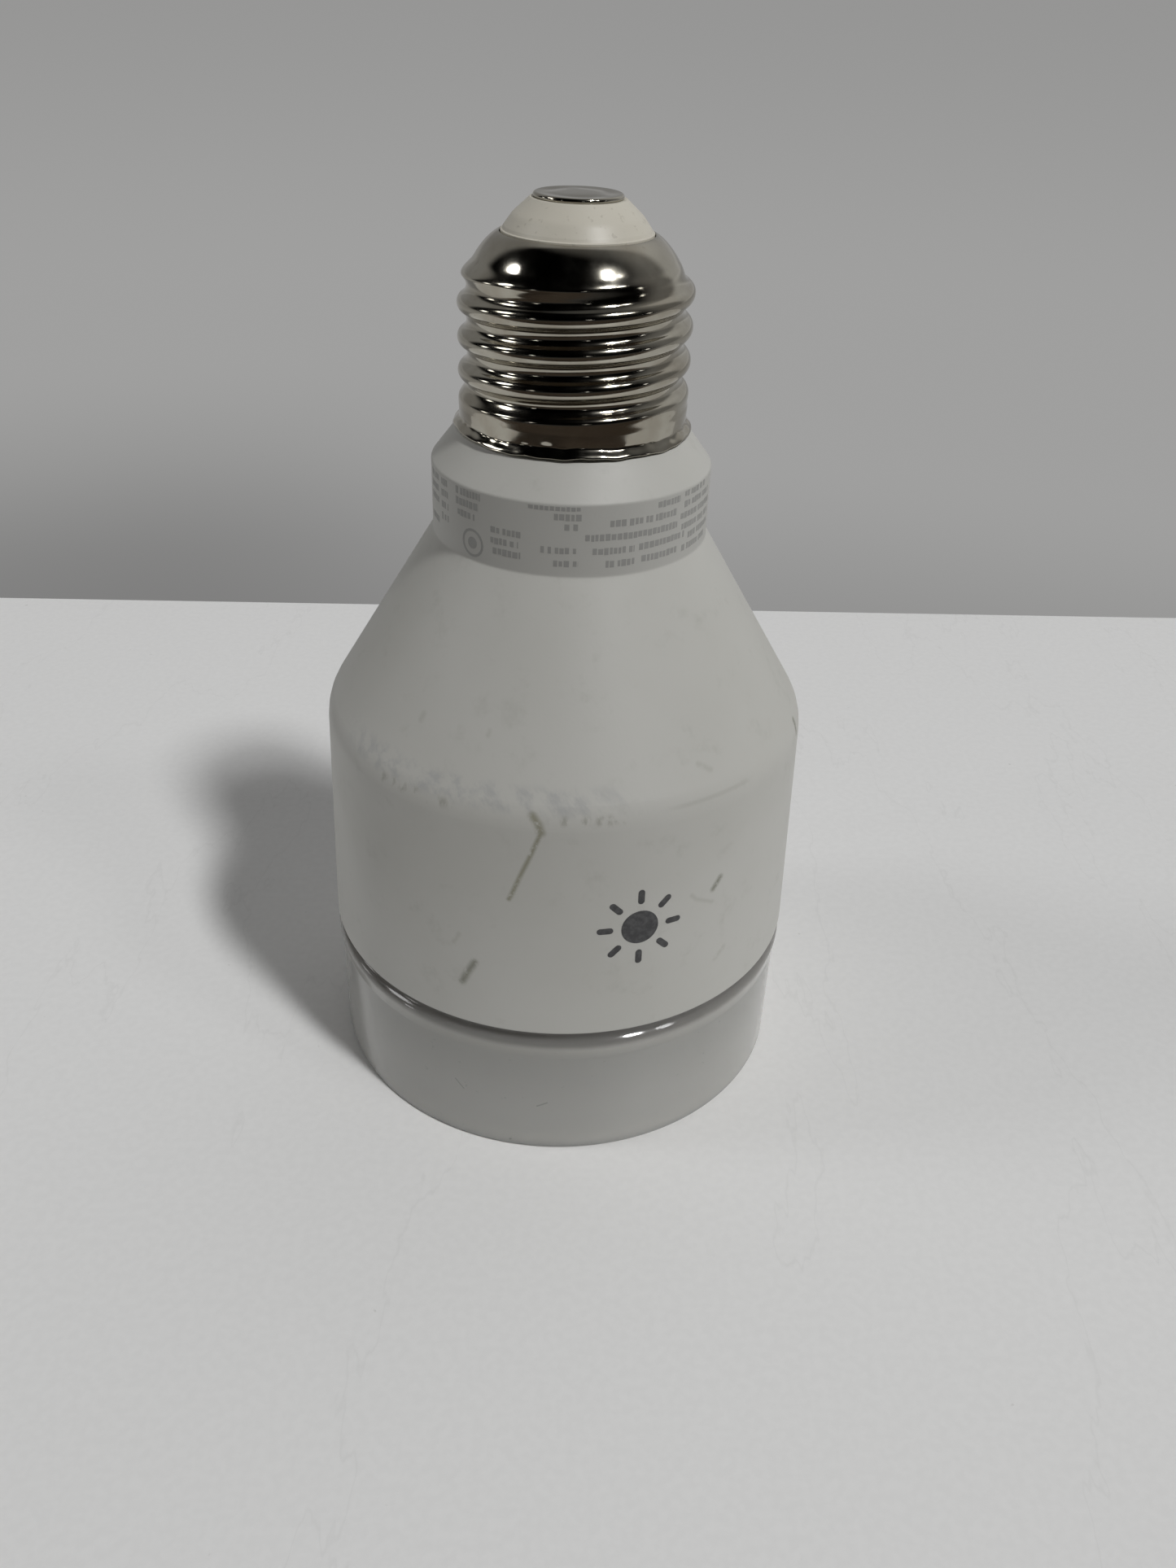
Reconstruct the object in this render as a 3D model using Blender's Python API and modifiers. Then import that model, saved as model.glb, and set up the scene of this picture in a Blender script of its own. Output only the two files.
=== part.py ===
"""Smart light bulb with a medium screw base, built from its separate pieces.

Blender 4.5, metres, +Z up. The bulb stands on its diffuser with the screw base up. The origin is the
centre of the diffuser's flat face, the bulb's axis is +Z, and the printed side of the housing faces -Y.
Pieces that touch on the real bulb keep a clearance of GAP to each other.
"""
import math

import bmesh
import bpy
from mathutils import Vector

# ---- Driving dimensions, in metres ---------------------------------------------------------------
GAP = 0.0003
MERGE = 0.00001

# Screw base: standard medium thread, seven turns to the inch.
PITCH = 0.0254 / 7
CREST_R = 0.0131
THREAD_DEPTH = 0.00095
ROOT_R = CREST_R - THREAD_DEPTH
CREST_Z = 0.10195
BASE_SHEET = 0.00045
BASE_TOP_Z = 0.1075
BASE_HOLE_R = 0.0086
DOME_Z = 0.1028
DOME_MIDDLE = (0.0104, 0.1054)
THREAD_FADE_Z = 0.1022
THREAD_END_Z = 0.1050
COLLAR_TOP_Z = 0.0908
LIP_R = 0.01376
LIP_Z = 0.0870
CONTACT_R = 0.00487
CONTACT_TOP_Z = 0.1114
CONTACT_THICK = 0.00045
INSULATOR_TOP_R = 0.00515
INSULATOR_MIDDLE = (0.0072, 0.1091)
INSULATOR_R = BASE_HOLE_R - GAP

# Housing, measured on its outside.
SPIGOT_R = ROOT_R - BASE_SHEET - GAP
SPIGOT_TOP_Z = 0.1010
NECK_R = 0.0164
NECK_TOP_Z = 0.0830
NECK_Z = 0.0747
SHOULDER_R = 0.0304
SHOULDER_Z = 0.0518
SHOULDER_FILLET = 0.0060
RIM_R = 0.0314
RIM_Z = 0.0207
HOUSING_WALL = 0.0015

# Diffuser.
LIP_TOP_Z = RIM_Z - GAP
CHANNEL_R = 0.0304
CHANNEL_Z = 0.0194
DIFFUSER_LIP_R = 0.0313
DIFFUSER_LIP_Z = 0.0182
DIFFUSER_R = 0.03105
DIFFUSER_TOP_Z = 0.0160
DIFFUSER_EDGE = 0.0005
DIFFUSER_WALL = 0.0013
PLUG_R = 0.0288
PLUG_TOP_Z = 0.0240

# Light engine, from the diffuser side upwards.
BOARD_R = 0.0266
BOARD_Z = 0.0246
BOARD_THICK = 0.0012
PAD_THICK = 0.0005
PAD_Z = BOARD_Z + BOARD_THICK + GAP
CUP_Z = PAD_Z + PAD_THICK + GAP
CUP_TOP_Z = 0.0480
CUP_SHEET = 0.0010
CABLE_HOLE_R = 0.0095
SCREW_COUNT = 3
SCREW_RING_R = 0.0235
SCREW_START_DEGREES = 15
SCREW_SHANK_R = 0.0010
SCREW_HEAD_R = 0.0022
WHITE_LED_COUNT = 12
WHITE_LED_RING_R = 0.0190
WHITE_LED_SIZE = (0.0035, 0.0028, 0.0007)
COLOUR_LED_COUNT = 4
COLOUR_LED_RING_R = 0.0105
COLOUR_LED_SIZE = (0.0050, 0.0050, 0.0015)

# Driver board: an upright board in the XZ plane, wide below and narrow inside the screw base.
DRIVER_THICK = 0.0012
DRIVER_BOTTOM_Z = 0.0305
DRIVER_WIDE_TOP_Z = 0.0540
DRIVER_NECK_TOP_Z = 0.0838
DRIVER_TOP_Z = 0.0985
DRIVER_HALF_WIDE = 0.0155
DRIVER_HALF_NECK = 0.0125
DRIVER_HALF_TIP = 0.0082
FACE_Y = DRIVER_THICK / 2 + GAP
SLEEVE_R = 0.0185
SLEEVE_WALL = 0.0012
SLEEVE_TOP_Z = 0.0500
RADIO_Y = -0.0080
RADIO_THICK = 0.0008
RADIO_SIZE = (0.0150, 0.0200)
RADIO_Z = 0.0435

# Moulded components on the driver board: name, board face, x, z, size, material.
BLOCK_CHAMFER = 0.0004
BOARD_BLOCKS = [
    ("film_capacitor", 1, 0.0062, 0.0725, (0.0050, 0.0050, 0.0105), "film_blue"),
    ("bridge_rectifier", -1, -0.0050, 0.0780, (0.0060, 0.0025, 0.0047), "chip_black"),
    ("power_switch", -1, 0.0050, 0.0690, (0.0050, 0.0016, 0.0040), "chip_black"),
    ("led_controller", -1, 0.0000, 0.0600, (0.0060, 0.0016, 0.0050), "chip_black"),
]

# Facets round a turned piece.
FINE = 48
MEDIUM = 32
COARSE = 16
TINY = 10

COLOURS = {
    "housing_white": ((0.60, 0.60, 0.57), 0.50, 0.0),
    "opal_white": ((0.50, 0.50, 0.48), 0.25, 0.0),
    "nickel": ((0.56, 0.52, 0.46), 0.22, 1.0),
    "cream_plastic": ((0.66, 0.62, 0.53), 0.50, 0.0),
    "silicone_white": ((0.78, 0.78, 0.76), 0.60, 0.0),
    "aluminium": ((0.74, 0.75, 0.76), 0.35, 1.0),
    "board_white": ((0.85, 0.86, 0.84), 0.45, 0.0),
    "board_green": ((0.05, 0.24, 0.12), 0.45, 0.0),
    "pad_grey": ((0.48, 0.50, 0.53), 0.80, 0.0),
    "steel": ((0.62, 0.62, 0.60), 0.30, 1.0),
    "phosphor_yellow": ((0.90, 0.74, 0.22), 0.40, 0.0),
    "lens_clear": ((0.88, 0.88, 0.86), 0.20, 0.0),
    "sleeve_natural": ((0.80, 0.80, 0.76), 0.50, 0.0),
    "can_black": ((0.05, 0.05, 0.06), 0.35, 0.0),
    "chip_black": ((0.03, 0.03, 0.03), 0.55, 0.0),
    "ferrite": ((0.09, 0.09, 0.10), 0.60, 0.0),
    "copper": ((0.72, 0.36, 0.18), 0.30, 1.0),
    "tape_yellow": ((0.86, 0.66, 0.12), 0.45, 0.0),
    "film_blue": ((0.10, 0.22, 0.55), 0.45, 0.0),
    "varistor_orange": ((0.80, 0.33, 0.08), 0.50, 0.0),
    "resistor_green": ((0.18, 0.42, 0.30), 0.50, 0.0),
    "wire_red": ((0.62, 0.06, 0.05), 0.45, 0.0),
    "wire_white": ((0.86, 0.86, 0.84), 0.45, 0.0),
}


# ---- Scene ---------------------------------------------------------------------------------------
def clear_scene():
    for item in list(bpy.data.objects):
        bpy.data.objects.remove(item, do_unlink=True)


def new_collection(name):
    collection = bpy.data.collections.new(name)
    bpy.context.scene.collection.children.link(collection)
    return collection


def new_material(name):
    colour, roughness, metallic = COLOURS[name]
    material = bpy.data.materials.new(name)
    material.use_nodes = True
    shader = material.node_tree.nodes["Principled BSDF"]
    shader.inputs["Base Color"].default_value = (*colour, 1.0)
    shader.inputs["Roughness"].default_value = roughness
    shader.inputs["Metallic"].default_value = metallic
    material.diffuse_color = (*colour, 1.0)
    return material


clear_scene()
PARTS = new_collection("smart_light_bulb")
CUTTERS = new_collection("cutters")
MATERIALS = {name: new_material(name) for name in COLOURS}


def add_part(name, data, material):
    part = bpy.data.objects.new(name, data)
    part.data.materials.append(MATERIALS[material])
    PARTS.objects.link(part)
    return part


def add_cutter(name, data):
    cutter = bpy.data.objects.new(name, data)
    cutter.hide_render = True
    cutter.display_type = "WIRE"
    CUTTERS.objects.link(cutter)
    return cutter


# ---- Outlines ------------------------------------------------------------------------------------
def arc(centre, radius, start_degrees, end_degrees, pieces):
    """Points of a circular arc, both ends included."""
    points = []
    for index in range(pieces + 1):
        angle = math.radians(start_degrees + (end_degrees - start_degrees) * index / pieces)
        x = centre[0] + radius * math.cos(angle)
        y = centre[1] + radius * math.sin(angle)
        points.append((x, y))
    return points


def rounded_corner(before, corner, after, radius, pieces):
    """The arc of the given radius that joins two straight lines meeting at a corner."""
    corner = Vector(corner)
    to_before = (Vector(before) - corner).normalized()
    to_after = (Vector(after) - corner).normalized()
    half = to_before.angle(to_after) / 2
    centre = corner + (to_before + to_after).normalized() * radius / math.sin(half)
    reach = radius / math.tan(half)
    start = corner + to_before * reach - centre
    end = corner + to_after * reach - centre
    start_degrees = math.degrees(math.atan2(start.y, start.x))
    turn_degrees = math.degrees(math.atan2(start.x * end.y - start.y * end.x, start.dot(end)))
    return arc(centre, radius, start_degrees, start_degrees + turn_degrees, pieces)


def circle(radius, facets, centre=(0.0, 0.0)):
    return arc(centre, radius, 0, 360 - 360 / facets, facets - 1)


def rectangle(width, height, centre=(0.0, 0.0)):
    x, y = centre
    w, h = width / 2, height / 2
    return [(x - w, y - h), (x + w, y - h), (x + w, y + h), (x - w, y + h)]


def ring_places(count, radius, start_degrees=0.0):
    """Places and headings of pieces spread evenly round the axis."""
    places = []
    for index in range(count):
        angle = math.radians(start_degrees + 360 * index / count)
        places.append((radius * math.cos(angle), radius * math.sin(angle), angle))
    return places


# ---- Ways to make a solid ------------------------------------------------------------------------
def profile_mesh(name, profile, closed):
    mesh = bpy.data.meshes.new(name)
    vertices = [(radius, 0.0, height) for radius, height in profile]
    edges = [(index, index + 1) for index in range(len(profile) - 1)]
    if closed:
        edges.append((len(profile) - 1, 0))
    mesh.from_pydata(vertices, edges, [])
    return mesh


def turned(name, profile, material, facets, closed=False):
    """A profile of (radius, height) points, turned about Z. Its outer side runs from top to bottom."""
    part = add_part(name, profile_mesh(name, profile, closed), material)
    screw = part.modifiers.new("turn", "SCREW")
    screw.steps = facets
    screw.render_steps = facets
    screw.use_merge_vertices = True
    screw.merge_threshold = MERGE
    screw.use_smooth_shade = True
    return part


def turned_shell(name, profile, wall, material, facets):
    """An open outer profile, turned and given its wall on the inside."""
    part = turned(name, profile, material, facets)
    solidify = part.modifiers.new("wall", "SOLIDIFY")
    solidify.thickness = wall
    solidify.offset = -1.0
    solidify.use_even_offset = True
    return part


def flat(name, outlines, thickness, material):
    """A flat sheet in the XY plane: the first outline is its edge, and the others are its holes."""
    curve = bpy.data.curves.new(name, "CURVE")
    curve.dimensions = "2D"
    curve.fill_mode = "BOTH"
    curve.extrude = thickness / 2
    for outline in outlines:
        spline = curve.splines.new("POLY")
        spline.points.add(len(outline) - 1)
        for point, (x, y) in zip(spline.points, outline):
            point.co = (x, y, 0.0, 1.0)
        spline.use_cyclic_u = True
    return add_part(name, curve, material)


def stand_up(part):
    """Turns a flat sheet so that its Y runs up the bulb's axis."""
    part.rotation_euler = (math.pi / 2, 0.0, 0.0)
    return part


def box_mesh(name, size):
    mesh = bpy.data.meshes.new(name)
    shape = bmesh.new()
    bmesh.ops.create_cube(shape, size=1.0)
    bmesh.ops.scale(shape, vec=size, verts=shape.verts)
    shape.to_mesh(mesh)
    shape.free()
    return mesh


def box(name, size, location, material, chamfer=0.0):
    part = add_part(name, box_mesh(name, size), material)
    part.location = location
    if chamfer:
        bevel = part.modifiers.new("chamfer", "BEVEL")
        bevel.width = chamfer
        bevel.segments = 1
    return part


def cylinder_mesh(name, radius, length, facets):
    mesh = bpy.data.meshes.new(name)
    shape = bmesh.new()
    bmesh.ops.create_cone(
        shape, cap_ends=True, segments=facets, radius1=radius, radius2=radius, depth=length
    )
    shape.to_mesh(mesh)
    shape.free()
    mesh.shade_smooth()
    mesh.set_sharp_from_angle(angle=math.radians(40))
    return mesh


def boolean(part, other, operation):
    modifier = part.modifiers.new(other.name, "BOOLEAN")
    modifier.operation = operation
    modifier.solver = "EXACT"
    modifier.object = other


def smooth_route(route, steps):
    """Points of a smooth curve through the route's own points (Catmull-Rom)."""
    knots = [Vector(point) for point in route]
    knots = [2 * knots[0] - knots[1]] + knots + [2 * knots[-1] - knots[-2]]
    points = []
    for index in range(1, len(knots) - 2):
        before, start, end, after = knots[index - 1:index + 3]
        for step in range(steps):
            t = step / steps
            pull = (end - before) * t + (2 * before - 5 * start + 4 * end - after) * t * t
            pull += (3 * start - before - 3 * end + after) * t ** 3
            points.append(start + pull * 0.5)
    points.append(knots[-2])
    return points


def wire(name, route, radius, material):
    curve = bpy.data.curves.new(name, "CURVE")
    curve.dimensions = "3D"
    curve.bevel_depth = radius
    curve.bevel_resolution = 2
    curve.use_fill_caps = True
    points = smooth_route(route, 3)
    spline = curve.splines.new("POLY")
    spline.points.add(len(points) - 1)
    for point, place in zip(spline.points, points):
        point.co = (*place, 1.0)
    return add_part(name, curve, material)


# ---- Screw base ----------------------------------------------------------------------------------
def ease(value, low, high):
    """0 below low, 1 above high, and a smooth step between them."""
    t = min(max((value - low) / (high - low), 0.0), 1.0)
    return t * t * (3 - 2 * t)


def thread_lift(height, angle):
    """How far the rolled thread, a right-hand one that runs out at both ends, stands out from its root."""
    phase = (height - CREST_Z) / PITCH - angle / (2 * math.pi)
    crest = 0.5 + 0.5 * math.cos(2 * math.pi * phase)
    crest *= 1 - ease(height, THREAD_FADE_Z, THREAD_END_Z)
    collar = 1 - ease(height, COLLAR_TOP_Z, COLLAR_TOP_Z + PITCH / 2)
    return THREAD_DEPTH * (collar + (1 - collar) * crest)


def make_screw_shell():
    rows = 20
    thread = []
    for row in range(rows + 1):
        thread.append((ROOT_R, DOME_Z + (COLLAR_TOP_Z - DOME_Z) * row / rows))
    dome = []
    for x, z in arc((0, 0), 1.0, 90, 15, 5):
        # A power below 1 turns the quarter circle into the flatter shoulder that a screw base has.
        width, height = x ** (2 / 1.4), z ** (2 / 1.4)
        dome.append((BASE_HOLE_R + (ROOT_R - BASE_HOLE_R) * width, DOME_Z + (BASE_TOP_Z - DOME_Z) * height))
    inner_r = ROOT_R - BASE_SHEET
    collar = [(CREST_R, LIP_Z + 0.0016), (LIP_R, LIP_Z + 0.0003), (LIP_R, LIP_Z)]
    inside = [(inner_r, LIP_Z), (inner_r, DOME_Z), DOME_MIDDLE, (BASE_HOLE_R, BASE_TOP_Z - BASE_SHEET)]
    part = turned("screw_shell", dome + thread + collar + inside, "nickel", MEDIUM, closed=True)
    evaluated = part.evaluated_get(bpy.context.evaluated_depsgraph_get())
    mesh = bpy.data.meshes.new_from_object(evaluated)
    part.modifiers.clear()
    part.data = mesh
    for vertex in mesh.vertices:
        x, y, z = vertex.co
        radius = math.hypot(x, y)
        on_dome = z > DOME_Z + MERGE and radius > DOME_MIDDLE[0] + MERGE
        on_thread = z > COLLAR_TOP_Z - MERGE and radius > ROOT_R - MERGE
        if on_dome or on_thread:
            grow = 1 + thread_lift(z, math.atan2(y, x)) / radius
            vertex.co = (x * grow, y * grow, z)


def make_base_insulator():
    stem_hole_r = 0.0016
    top_z = CONTACT_TOP_Z - CONTACT_THICK - GAP
    flange_r = 0.0096
    flange_top_z = 0.1056
    flange_bottom_z = 0.1040
    profile = [
        (stem_hole_r, top_z),
        (INSULATOR_TOP_R, top_z),
        INSULATOR_MIDDLE,
        (INSULATOR_R, BASE_TOP_Z),
        (INSULATOR_R, flange_top_z),
        (flange_r, flange_top_z),
        (flange_r, flange_bottom_z),
        (stem_hole_r, flange_bottom_z),
    ]
    turned("base_insulator", profile, "cream_plastic", MEDIUM, closed=True)


def make_centre_contact():
    stem_r = 0.0012
    stem_bottom_z = 0.1030
    rounding = CONTACT_THICK / 2
    profile = [
        (0.0, CONTACT_TOP_Z),
        (CONTACT_R - rounding, CONTACT_TOP_Z),
        (CONTACT_R, CONTACT_TOP_Z - rounding),
        (CONTACT_R, CONTACT_TOP_Z - CONTACT_THICK),
        (stem_r, CONTACT_TOP_Z - CONTACT_THICK),
        (stem_r, stem_bottom_z),
        (0.0, stem_bottom_z),
    ]
    turned("centre_contact", profile, "nickel", MEDIUM)


# ---- Housing and diffuser ------------------------------------------------------------------------
def body_radius(height):
    """Outer radius of the housing between its rim and its shoulder."""
    share = (height - RIM_Z) / (SHOULDER_Z - RIM_Z)
    return RIM_R + (SHOULDER_R - RIM_R) * share


def make_housing():
    seat_r = LIP_R - GAP
    seat_z = LIP_Z - GAP
    neck = (NECK_R, NECK_Z)
    shoulder = (SHOULDER_R, SHOULDER_Z)
    rim = (RIM_R, RIM_Z)
    outside = [(SPIGOT_R, SPIGOT_TOP_Z), (SPIGOT_R, seat_z), (seat_r, seat_z), (NECK_R, NECK_TOP_Z), neck]
    outside += rounded_corner(neck, shoulder, rim, SHOULDER_FILLET, 5)
    outside += [rim]
    turned_shell("housing", outside, HOUSING_WALL, "housing_white", FINE)


def make_diffuser():
    inner_r = DIFFUSER_R - DIFFUSER_WALL
    plug_inner_r = PLUG_R - DIFFUSER_WALL
    edge_centre = (DIFFUSER_R - DIFFUSER_EDGE, DIFFUSER_EDGE)
    profile = [(0.0, DIFFUSER_WALL), (inner_r, DIFFUSER_WALL), (inner_r, DIFFUSER_TOP_Z)]
    profile += [(plug_inner_r, LIP_TOP_Z), (plug_inner_r, PLUG_TOP_Z), (PLUG_R, PLUG_TOP_Z)]
    profile += [(PLUG_R, LIP_TOP_Z), (CHANNEL_R, LIP_TOP_Z), (CHANNEL_R, CHANNEL_Z)]
    profile += [(DIFFUSER_LIP_R - 0.0002, DIFFUSER_LIP_Z + 0.0004), (DIFFUSER_LIP_R, DIFFUSER_LIP_Z)]
    profile += [(DIFFUSER_LIP_R - 0.0001, DIFFUSER_LIP_Z - 0.0008), (DIFFUSER_R, DIFFUSER_TOP_Z)]
    profile += arc(edge_centre, DIFFUSER_EDGE, 0, -90, 4)
    profile += [(0.0, 0.0)]
    turned("diffuser", profile, "opal_white", FINE)


def make_seal_ring():
    outer_r = RIM_R - HOUSING_WALL - GAP - 0.0002
    inner_r = PLUG_R + GAP
    bottom_z = LIP_TOP_Z + GAP
    top_z = PLUG_TOP_Z - GAP
    profile = [(inner_r, top_z), (outer_r, top_z), (outer_r, bottom_z), (inner_r, bottom_z)]
    turned("seal_ring", profile, "silicone_white", FINE, closed=True)


# ---- Light engine --------------------------------------------------------------------------------
def screw_places():
    return ring_places(SCREW_COUNT, SCREW_RING_R, SCREW_START_DEGREES)


def make_led_board():
    hole_r = SCREW_SHANK_R + GAP
    slot = rectangle(0.0106, 0.0018)
    holes = [circle(hole_r, TINY, (x, y)) for x, y, _ in screw_places()]
    board = flat("led_board", [circle(BOARD_R, FINE), slot] + holes, BOARD_THICK, "board_white")
    board.location.z = BOARD_Z + BOARD_THICK / 2


def make_thermal_pad():
    hole_r = SCREW_SHANK_R + 2 * GAP
    holes = [circle(hole_r, TINY, (x, y)) for x, y, _ in screw_places()]
    outlines = [circle(BOARD_R - 0.0010, FINE), circle(CABLE_HOLE_R, MEDIUM)] + holes
    pad = flat("thermal_pad", outlines, PAD_THICK, "pad_grey")
    pad.location.z = PAD_Z + PAD_THICK / 2


def make_heat_sink_cup():
    clearance = HOUSING_WALL + 0.0004
    corner = (body_radius(CUP_Z) - clearance, CUP_Z)
    top = (body_radius(CUP_TOP_Z) - clearance, CUP_TOP_Z)
    hole = (CABLE_HOLE_R, CUP_Z)
    profile = [top] + rounded_corner(top, corner, hole, 0.0020, 3) + [hole]
    cup = turned_shell("heat_sink_cup", profile, CUP_SHEET, "aluminium", FINE)
    for index, (x, y, _) in enumerate(screw_places(), 1):
        cutter_mesh = cylinder_mesh("screw_hole", SCREW_SHANK_R + GAP, 6 * CUP_SHEET, TINY)
        cutter = add_cutter(f"screw_hole_{index}", cutter_mesh)
        cutter.location = (x, y, CUP_Z)
        boolean(cup, cutter, "DIFFERENCE")


def make_board_screws():
    head_top_z = BOARD_Z - GAP
    head_bottom_z = head_top_z - 0.0014
    tip_z = CUP_Z + 0.0030
    profile = [
        (0.0, tip_z),
        (SCREW_SHANK_R / 2, tip_z),
        (SCREW_SHANK_R, tip_z - 0.0008),
        (SCREW_SHANK_R, head_top_z),
        (SCREW_HEAD_R, head_top_z),
        (SCREW_HEAD_R, head_bottom_z + 0.0006),
        (SCREW_HEAD_R * 0.6, head_bottom_z),
        (0.0, head_bottom_z),
    ]
    for index, (x, y, _) in enumerate(screw_places(), 1):
        screw = turned(f"board_screw_{index}", profile, "steel", TINY)
        screw.location = (x, y, 0.0)


def make_leds(prefix, count, ring_r, start, size, material):
    height = BOARD_Z - GAP - size[2] / 2
    for index, (x, y, angle) in enumerate(ring_places(count, ring_r, start), 1):
        led = box(f"{prefix}_{index}", size, (x, y, height), material)
        led.rotation_euler.z = angle


def make_board_header():
    """Pin header that carries the LED current from the driver board to the LED board."""
    block_bottom_z = BOARD_Z + BOARD_THICK + GAP
    block_top_z = DRIVER_BOTTOM_Z - GAP
    height = block_top_z - block_bottom_z
    centre_z = (block_top_z + block_bottom_z) / 2
    block = box("board_header", (0.0102, 0.0024, height), (0.0, 0.0, centre_z), "chip_black")
    pin_pitch = 0.0025
    pin_width = 0.0006
    pin_bottom_z = BOARD_Z - 0.0012
    pin_height = centre_z - pin_bottom_z
    for index in range(4):
        mesh = box_mesh("header_pin", (pin_width, pin_width, pin_height))
        pin = add_cutter(f"header_pin_{index + 1}", mesh)
        pin.location = ((index - 1.5) * pin_pitch, 0.0, centre_z - pin_height / 2)
        boolean(block, pin, "UNION")


# ---- Driver --------------------------------------------------------------------------------------
def make_driver_sleeve():
    bottom_z = CUP_Z + CUP_SHEET + GAP
    inner_r = SLEEVE_R - SLEEVE_WALL
    profile = [
        (inner_r, SLEEVE_TOP_Z), (SLEEVE_R, SLEEVE_TOP_Z), (SLEEVE_R, bottom_z),
        (inner_r - 0.0012, bottom_z), (inner_r - 0.0012, bottom_z + 0.0010), (inner_r, bottom_z + 0.0010),
    ]
    turned("driver_sleeve", profile, "sleeve_natural", MEDIUM, closed=True)


def make_driver_board():
    right = [
        (DRIVER_HALF_WIDE, DRIVER_BOTTOM_Z),
        (DRIVER_HALF_WIDE, DRIVER_WIDE_TOP_Z),
        (DRIVER_HALF_NECK, DRIVER_WIDE_TOP_Z + 0.0040),
        (DRIVER_HALF_NECK, DRIVER_NECK_TOP_Z),
        (DRIVER_HALF_TIP, DRIVER_NECK_TOP_Z),
        (DRIVER_HALF_TIP, DRIVER_TOP_Z),
    ]
    left = [(-x, z) for x, z in reversed(right)]
    stand_up(flat("driver_board", [right + left], DRIVER_THICK, "board_green"))


def make_capacitor(name, radius, length, x, bottom_z):
    """Electrolytic can with a rolled groove near its lower end."""
    groove_z = bottom_z + 0.0022
    profile = [
        (0.0, bottom_z + length),
        (radius - 0.0005, bottom_z + length),
        (radius, bottom_z + length - 0.0005),
        (radius, groove_z + 0.0006),
        (radius - 0.0004, groove_z),
        (radius, groove_z - 0.0006),
        (radius, bottom_z),
        (0.0, bottom_z),
    ]
    can = turned(name, profile, "can_black", COARSE)
    can.location = (x, FACE_Y + radius, 0.0)


def make_transformer():
    """Flyback transformer: a ferrite core, and a bobbin and winding round its middle leg."""
    width, height, depth = 0.0140, 0.0130, 0.0060
    leg, side, yoke = 0.0032, 0.0020, 0.0025
    window = (width - leg - 2 * side) / 2
    window_height = height - 2 * yoke
    window_x = (leg + window) / 2
    centre_z = 0.0420
    winding_depth = depth / 2 + 0.0030
    centre_y = FACE_Y + winding_depth
    windows = [rectangle(window, window_height, (sign * window_x, 0)) for sign in (-1, 1)]
    core = flat("transformer_core", [rectangle(width, height)] + windows, depth, "ferrite")
    stand_up(core)
    core.location = (0.0, centre_y, centre_z)
    bobbin_x = leg + 4 * GAP
    bobbin_y = depth + 4 * GAP
    wall = 0.0008
    hole = rectangle(leg + 2 * GAP, depth + 2 * GAP)
    length = window_height - 2 * GAP
    bobbin = flat("transformer_bobbin", [rectangle(bobbin_x, bobbin_y), hole], length, "sleeve_natural")
    bobbin.location = (0.0, centre_y, centre_z)
    inner = rectangle(bobbin_x + 2 * GAP, bobbin_y + 2 * GAP)
    outer = rectangle(leg + 2 * window - 2 * GAP, 2 * winding_depth)
    winding = flat("transformer_winding", [outer, inner], length - wall, "tape_yellow")
    winding.location = (0.0, centre_y, centre_z)


def make_choke():
    """Drum choke: a ferrite bobbin with a copper winding in its waist."""
    radius = 0.0034
    waist = radius * 0.45
    bottom_z, top_z = 0.0570, 0.0650
    flange = 0.0012
    x = 0.0062
    y = FACE_Y + radius
    core_profile = [
        (0.0, top_z), (radius, top_z), (radius, top_z - flange), (waist, top_z - flange),
        (waist, bottom_z + flange), (radius, bottom_z + flange), (radius, bottom_z), (0.0, bottom_z),
    ]
    core = turned("choke_core", core_profile, "ferrite", COARSE)
    core.location = (x, y, 0.0)
    inner_r = waist + GAP
    outer_r = radius - GAP
    high = top_z - flange - GAP
    low = bottom_z + flange + GAP
    coil_profile = [(inner_r, high), (outer_r, high), (outer_r, low), (inner_r, low)]
    coil = turned("choke_winding", coil_profile, "copper", COARSE, closed=True)
    coil.location = (x, y, 0.0)


def make_board_blocks():
    """Moulded components that sit on a face of the driver board: +1 is its +Y face, -1 its -Y face."""
    for name, face, x, z, size, material in BOARD_BLOCKS:
        y = face * (FACE_Y + size[1] / 2)
        box(name, size, (x, y, z), material, BLOCK_CHAMFER)


def make_fuse_resistor():
    radius, length = 0.0017, 0.0080
    fuse = add_part("fuse_resistor", cylinder_mesh("fuse_resistor", radius, length, COARSE), "resistor_green")
    fuse.location = (-0.0035, FACE_Y + radius, 0.0905)


def make_varistor():
    """Surge protector: a disc that lies flat against the board's -Y face."""
    radius, thickness = 0.0035, 0.0032
    varistor = add_part("varistor", cylinder_mesh("varistor", radius, thickness, COARSE), "varistor_orange")
    varistor.rotation_euler.x = math.pi / 2
    varistor.location = (0.0030, -FACE_Y - thickness / 2, 0.0890)


def make_wires():
    """Mains leads: one from the centre contact's stem, one from the inside of the screw shell."""
    radius = 0.0006
    line_route = [
        (0.0, 0.0, 0.1021), (0.0004, 0.0012, 0.1005), (-0.0010, 0.0034, 0.0992),
        (-0.0028, 0.0036, 0.0975), (-0.0035, 0.0026, 0.0955),
    ]
    wire("line_wire", line_route, radius, "wire_red")
    neutral_route = [
        (0.0098, -0.0052, 0.1023), (0.0082, -0.0052, 0.1029), (0.0062, -0.0050, 0.1012),
        (0.0048, -0.0040, 0.0985), (0.0036, -0.0028, 0.0958), (0.0032, -0.0026, 0.0934),
    ]
    wire("neutral_wire", neutral_route, radius, "wire_white")


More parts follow.
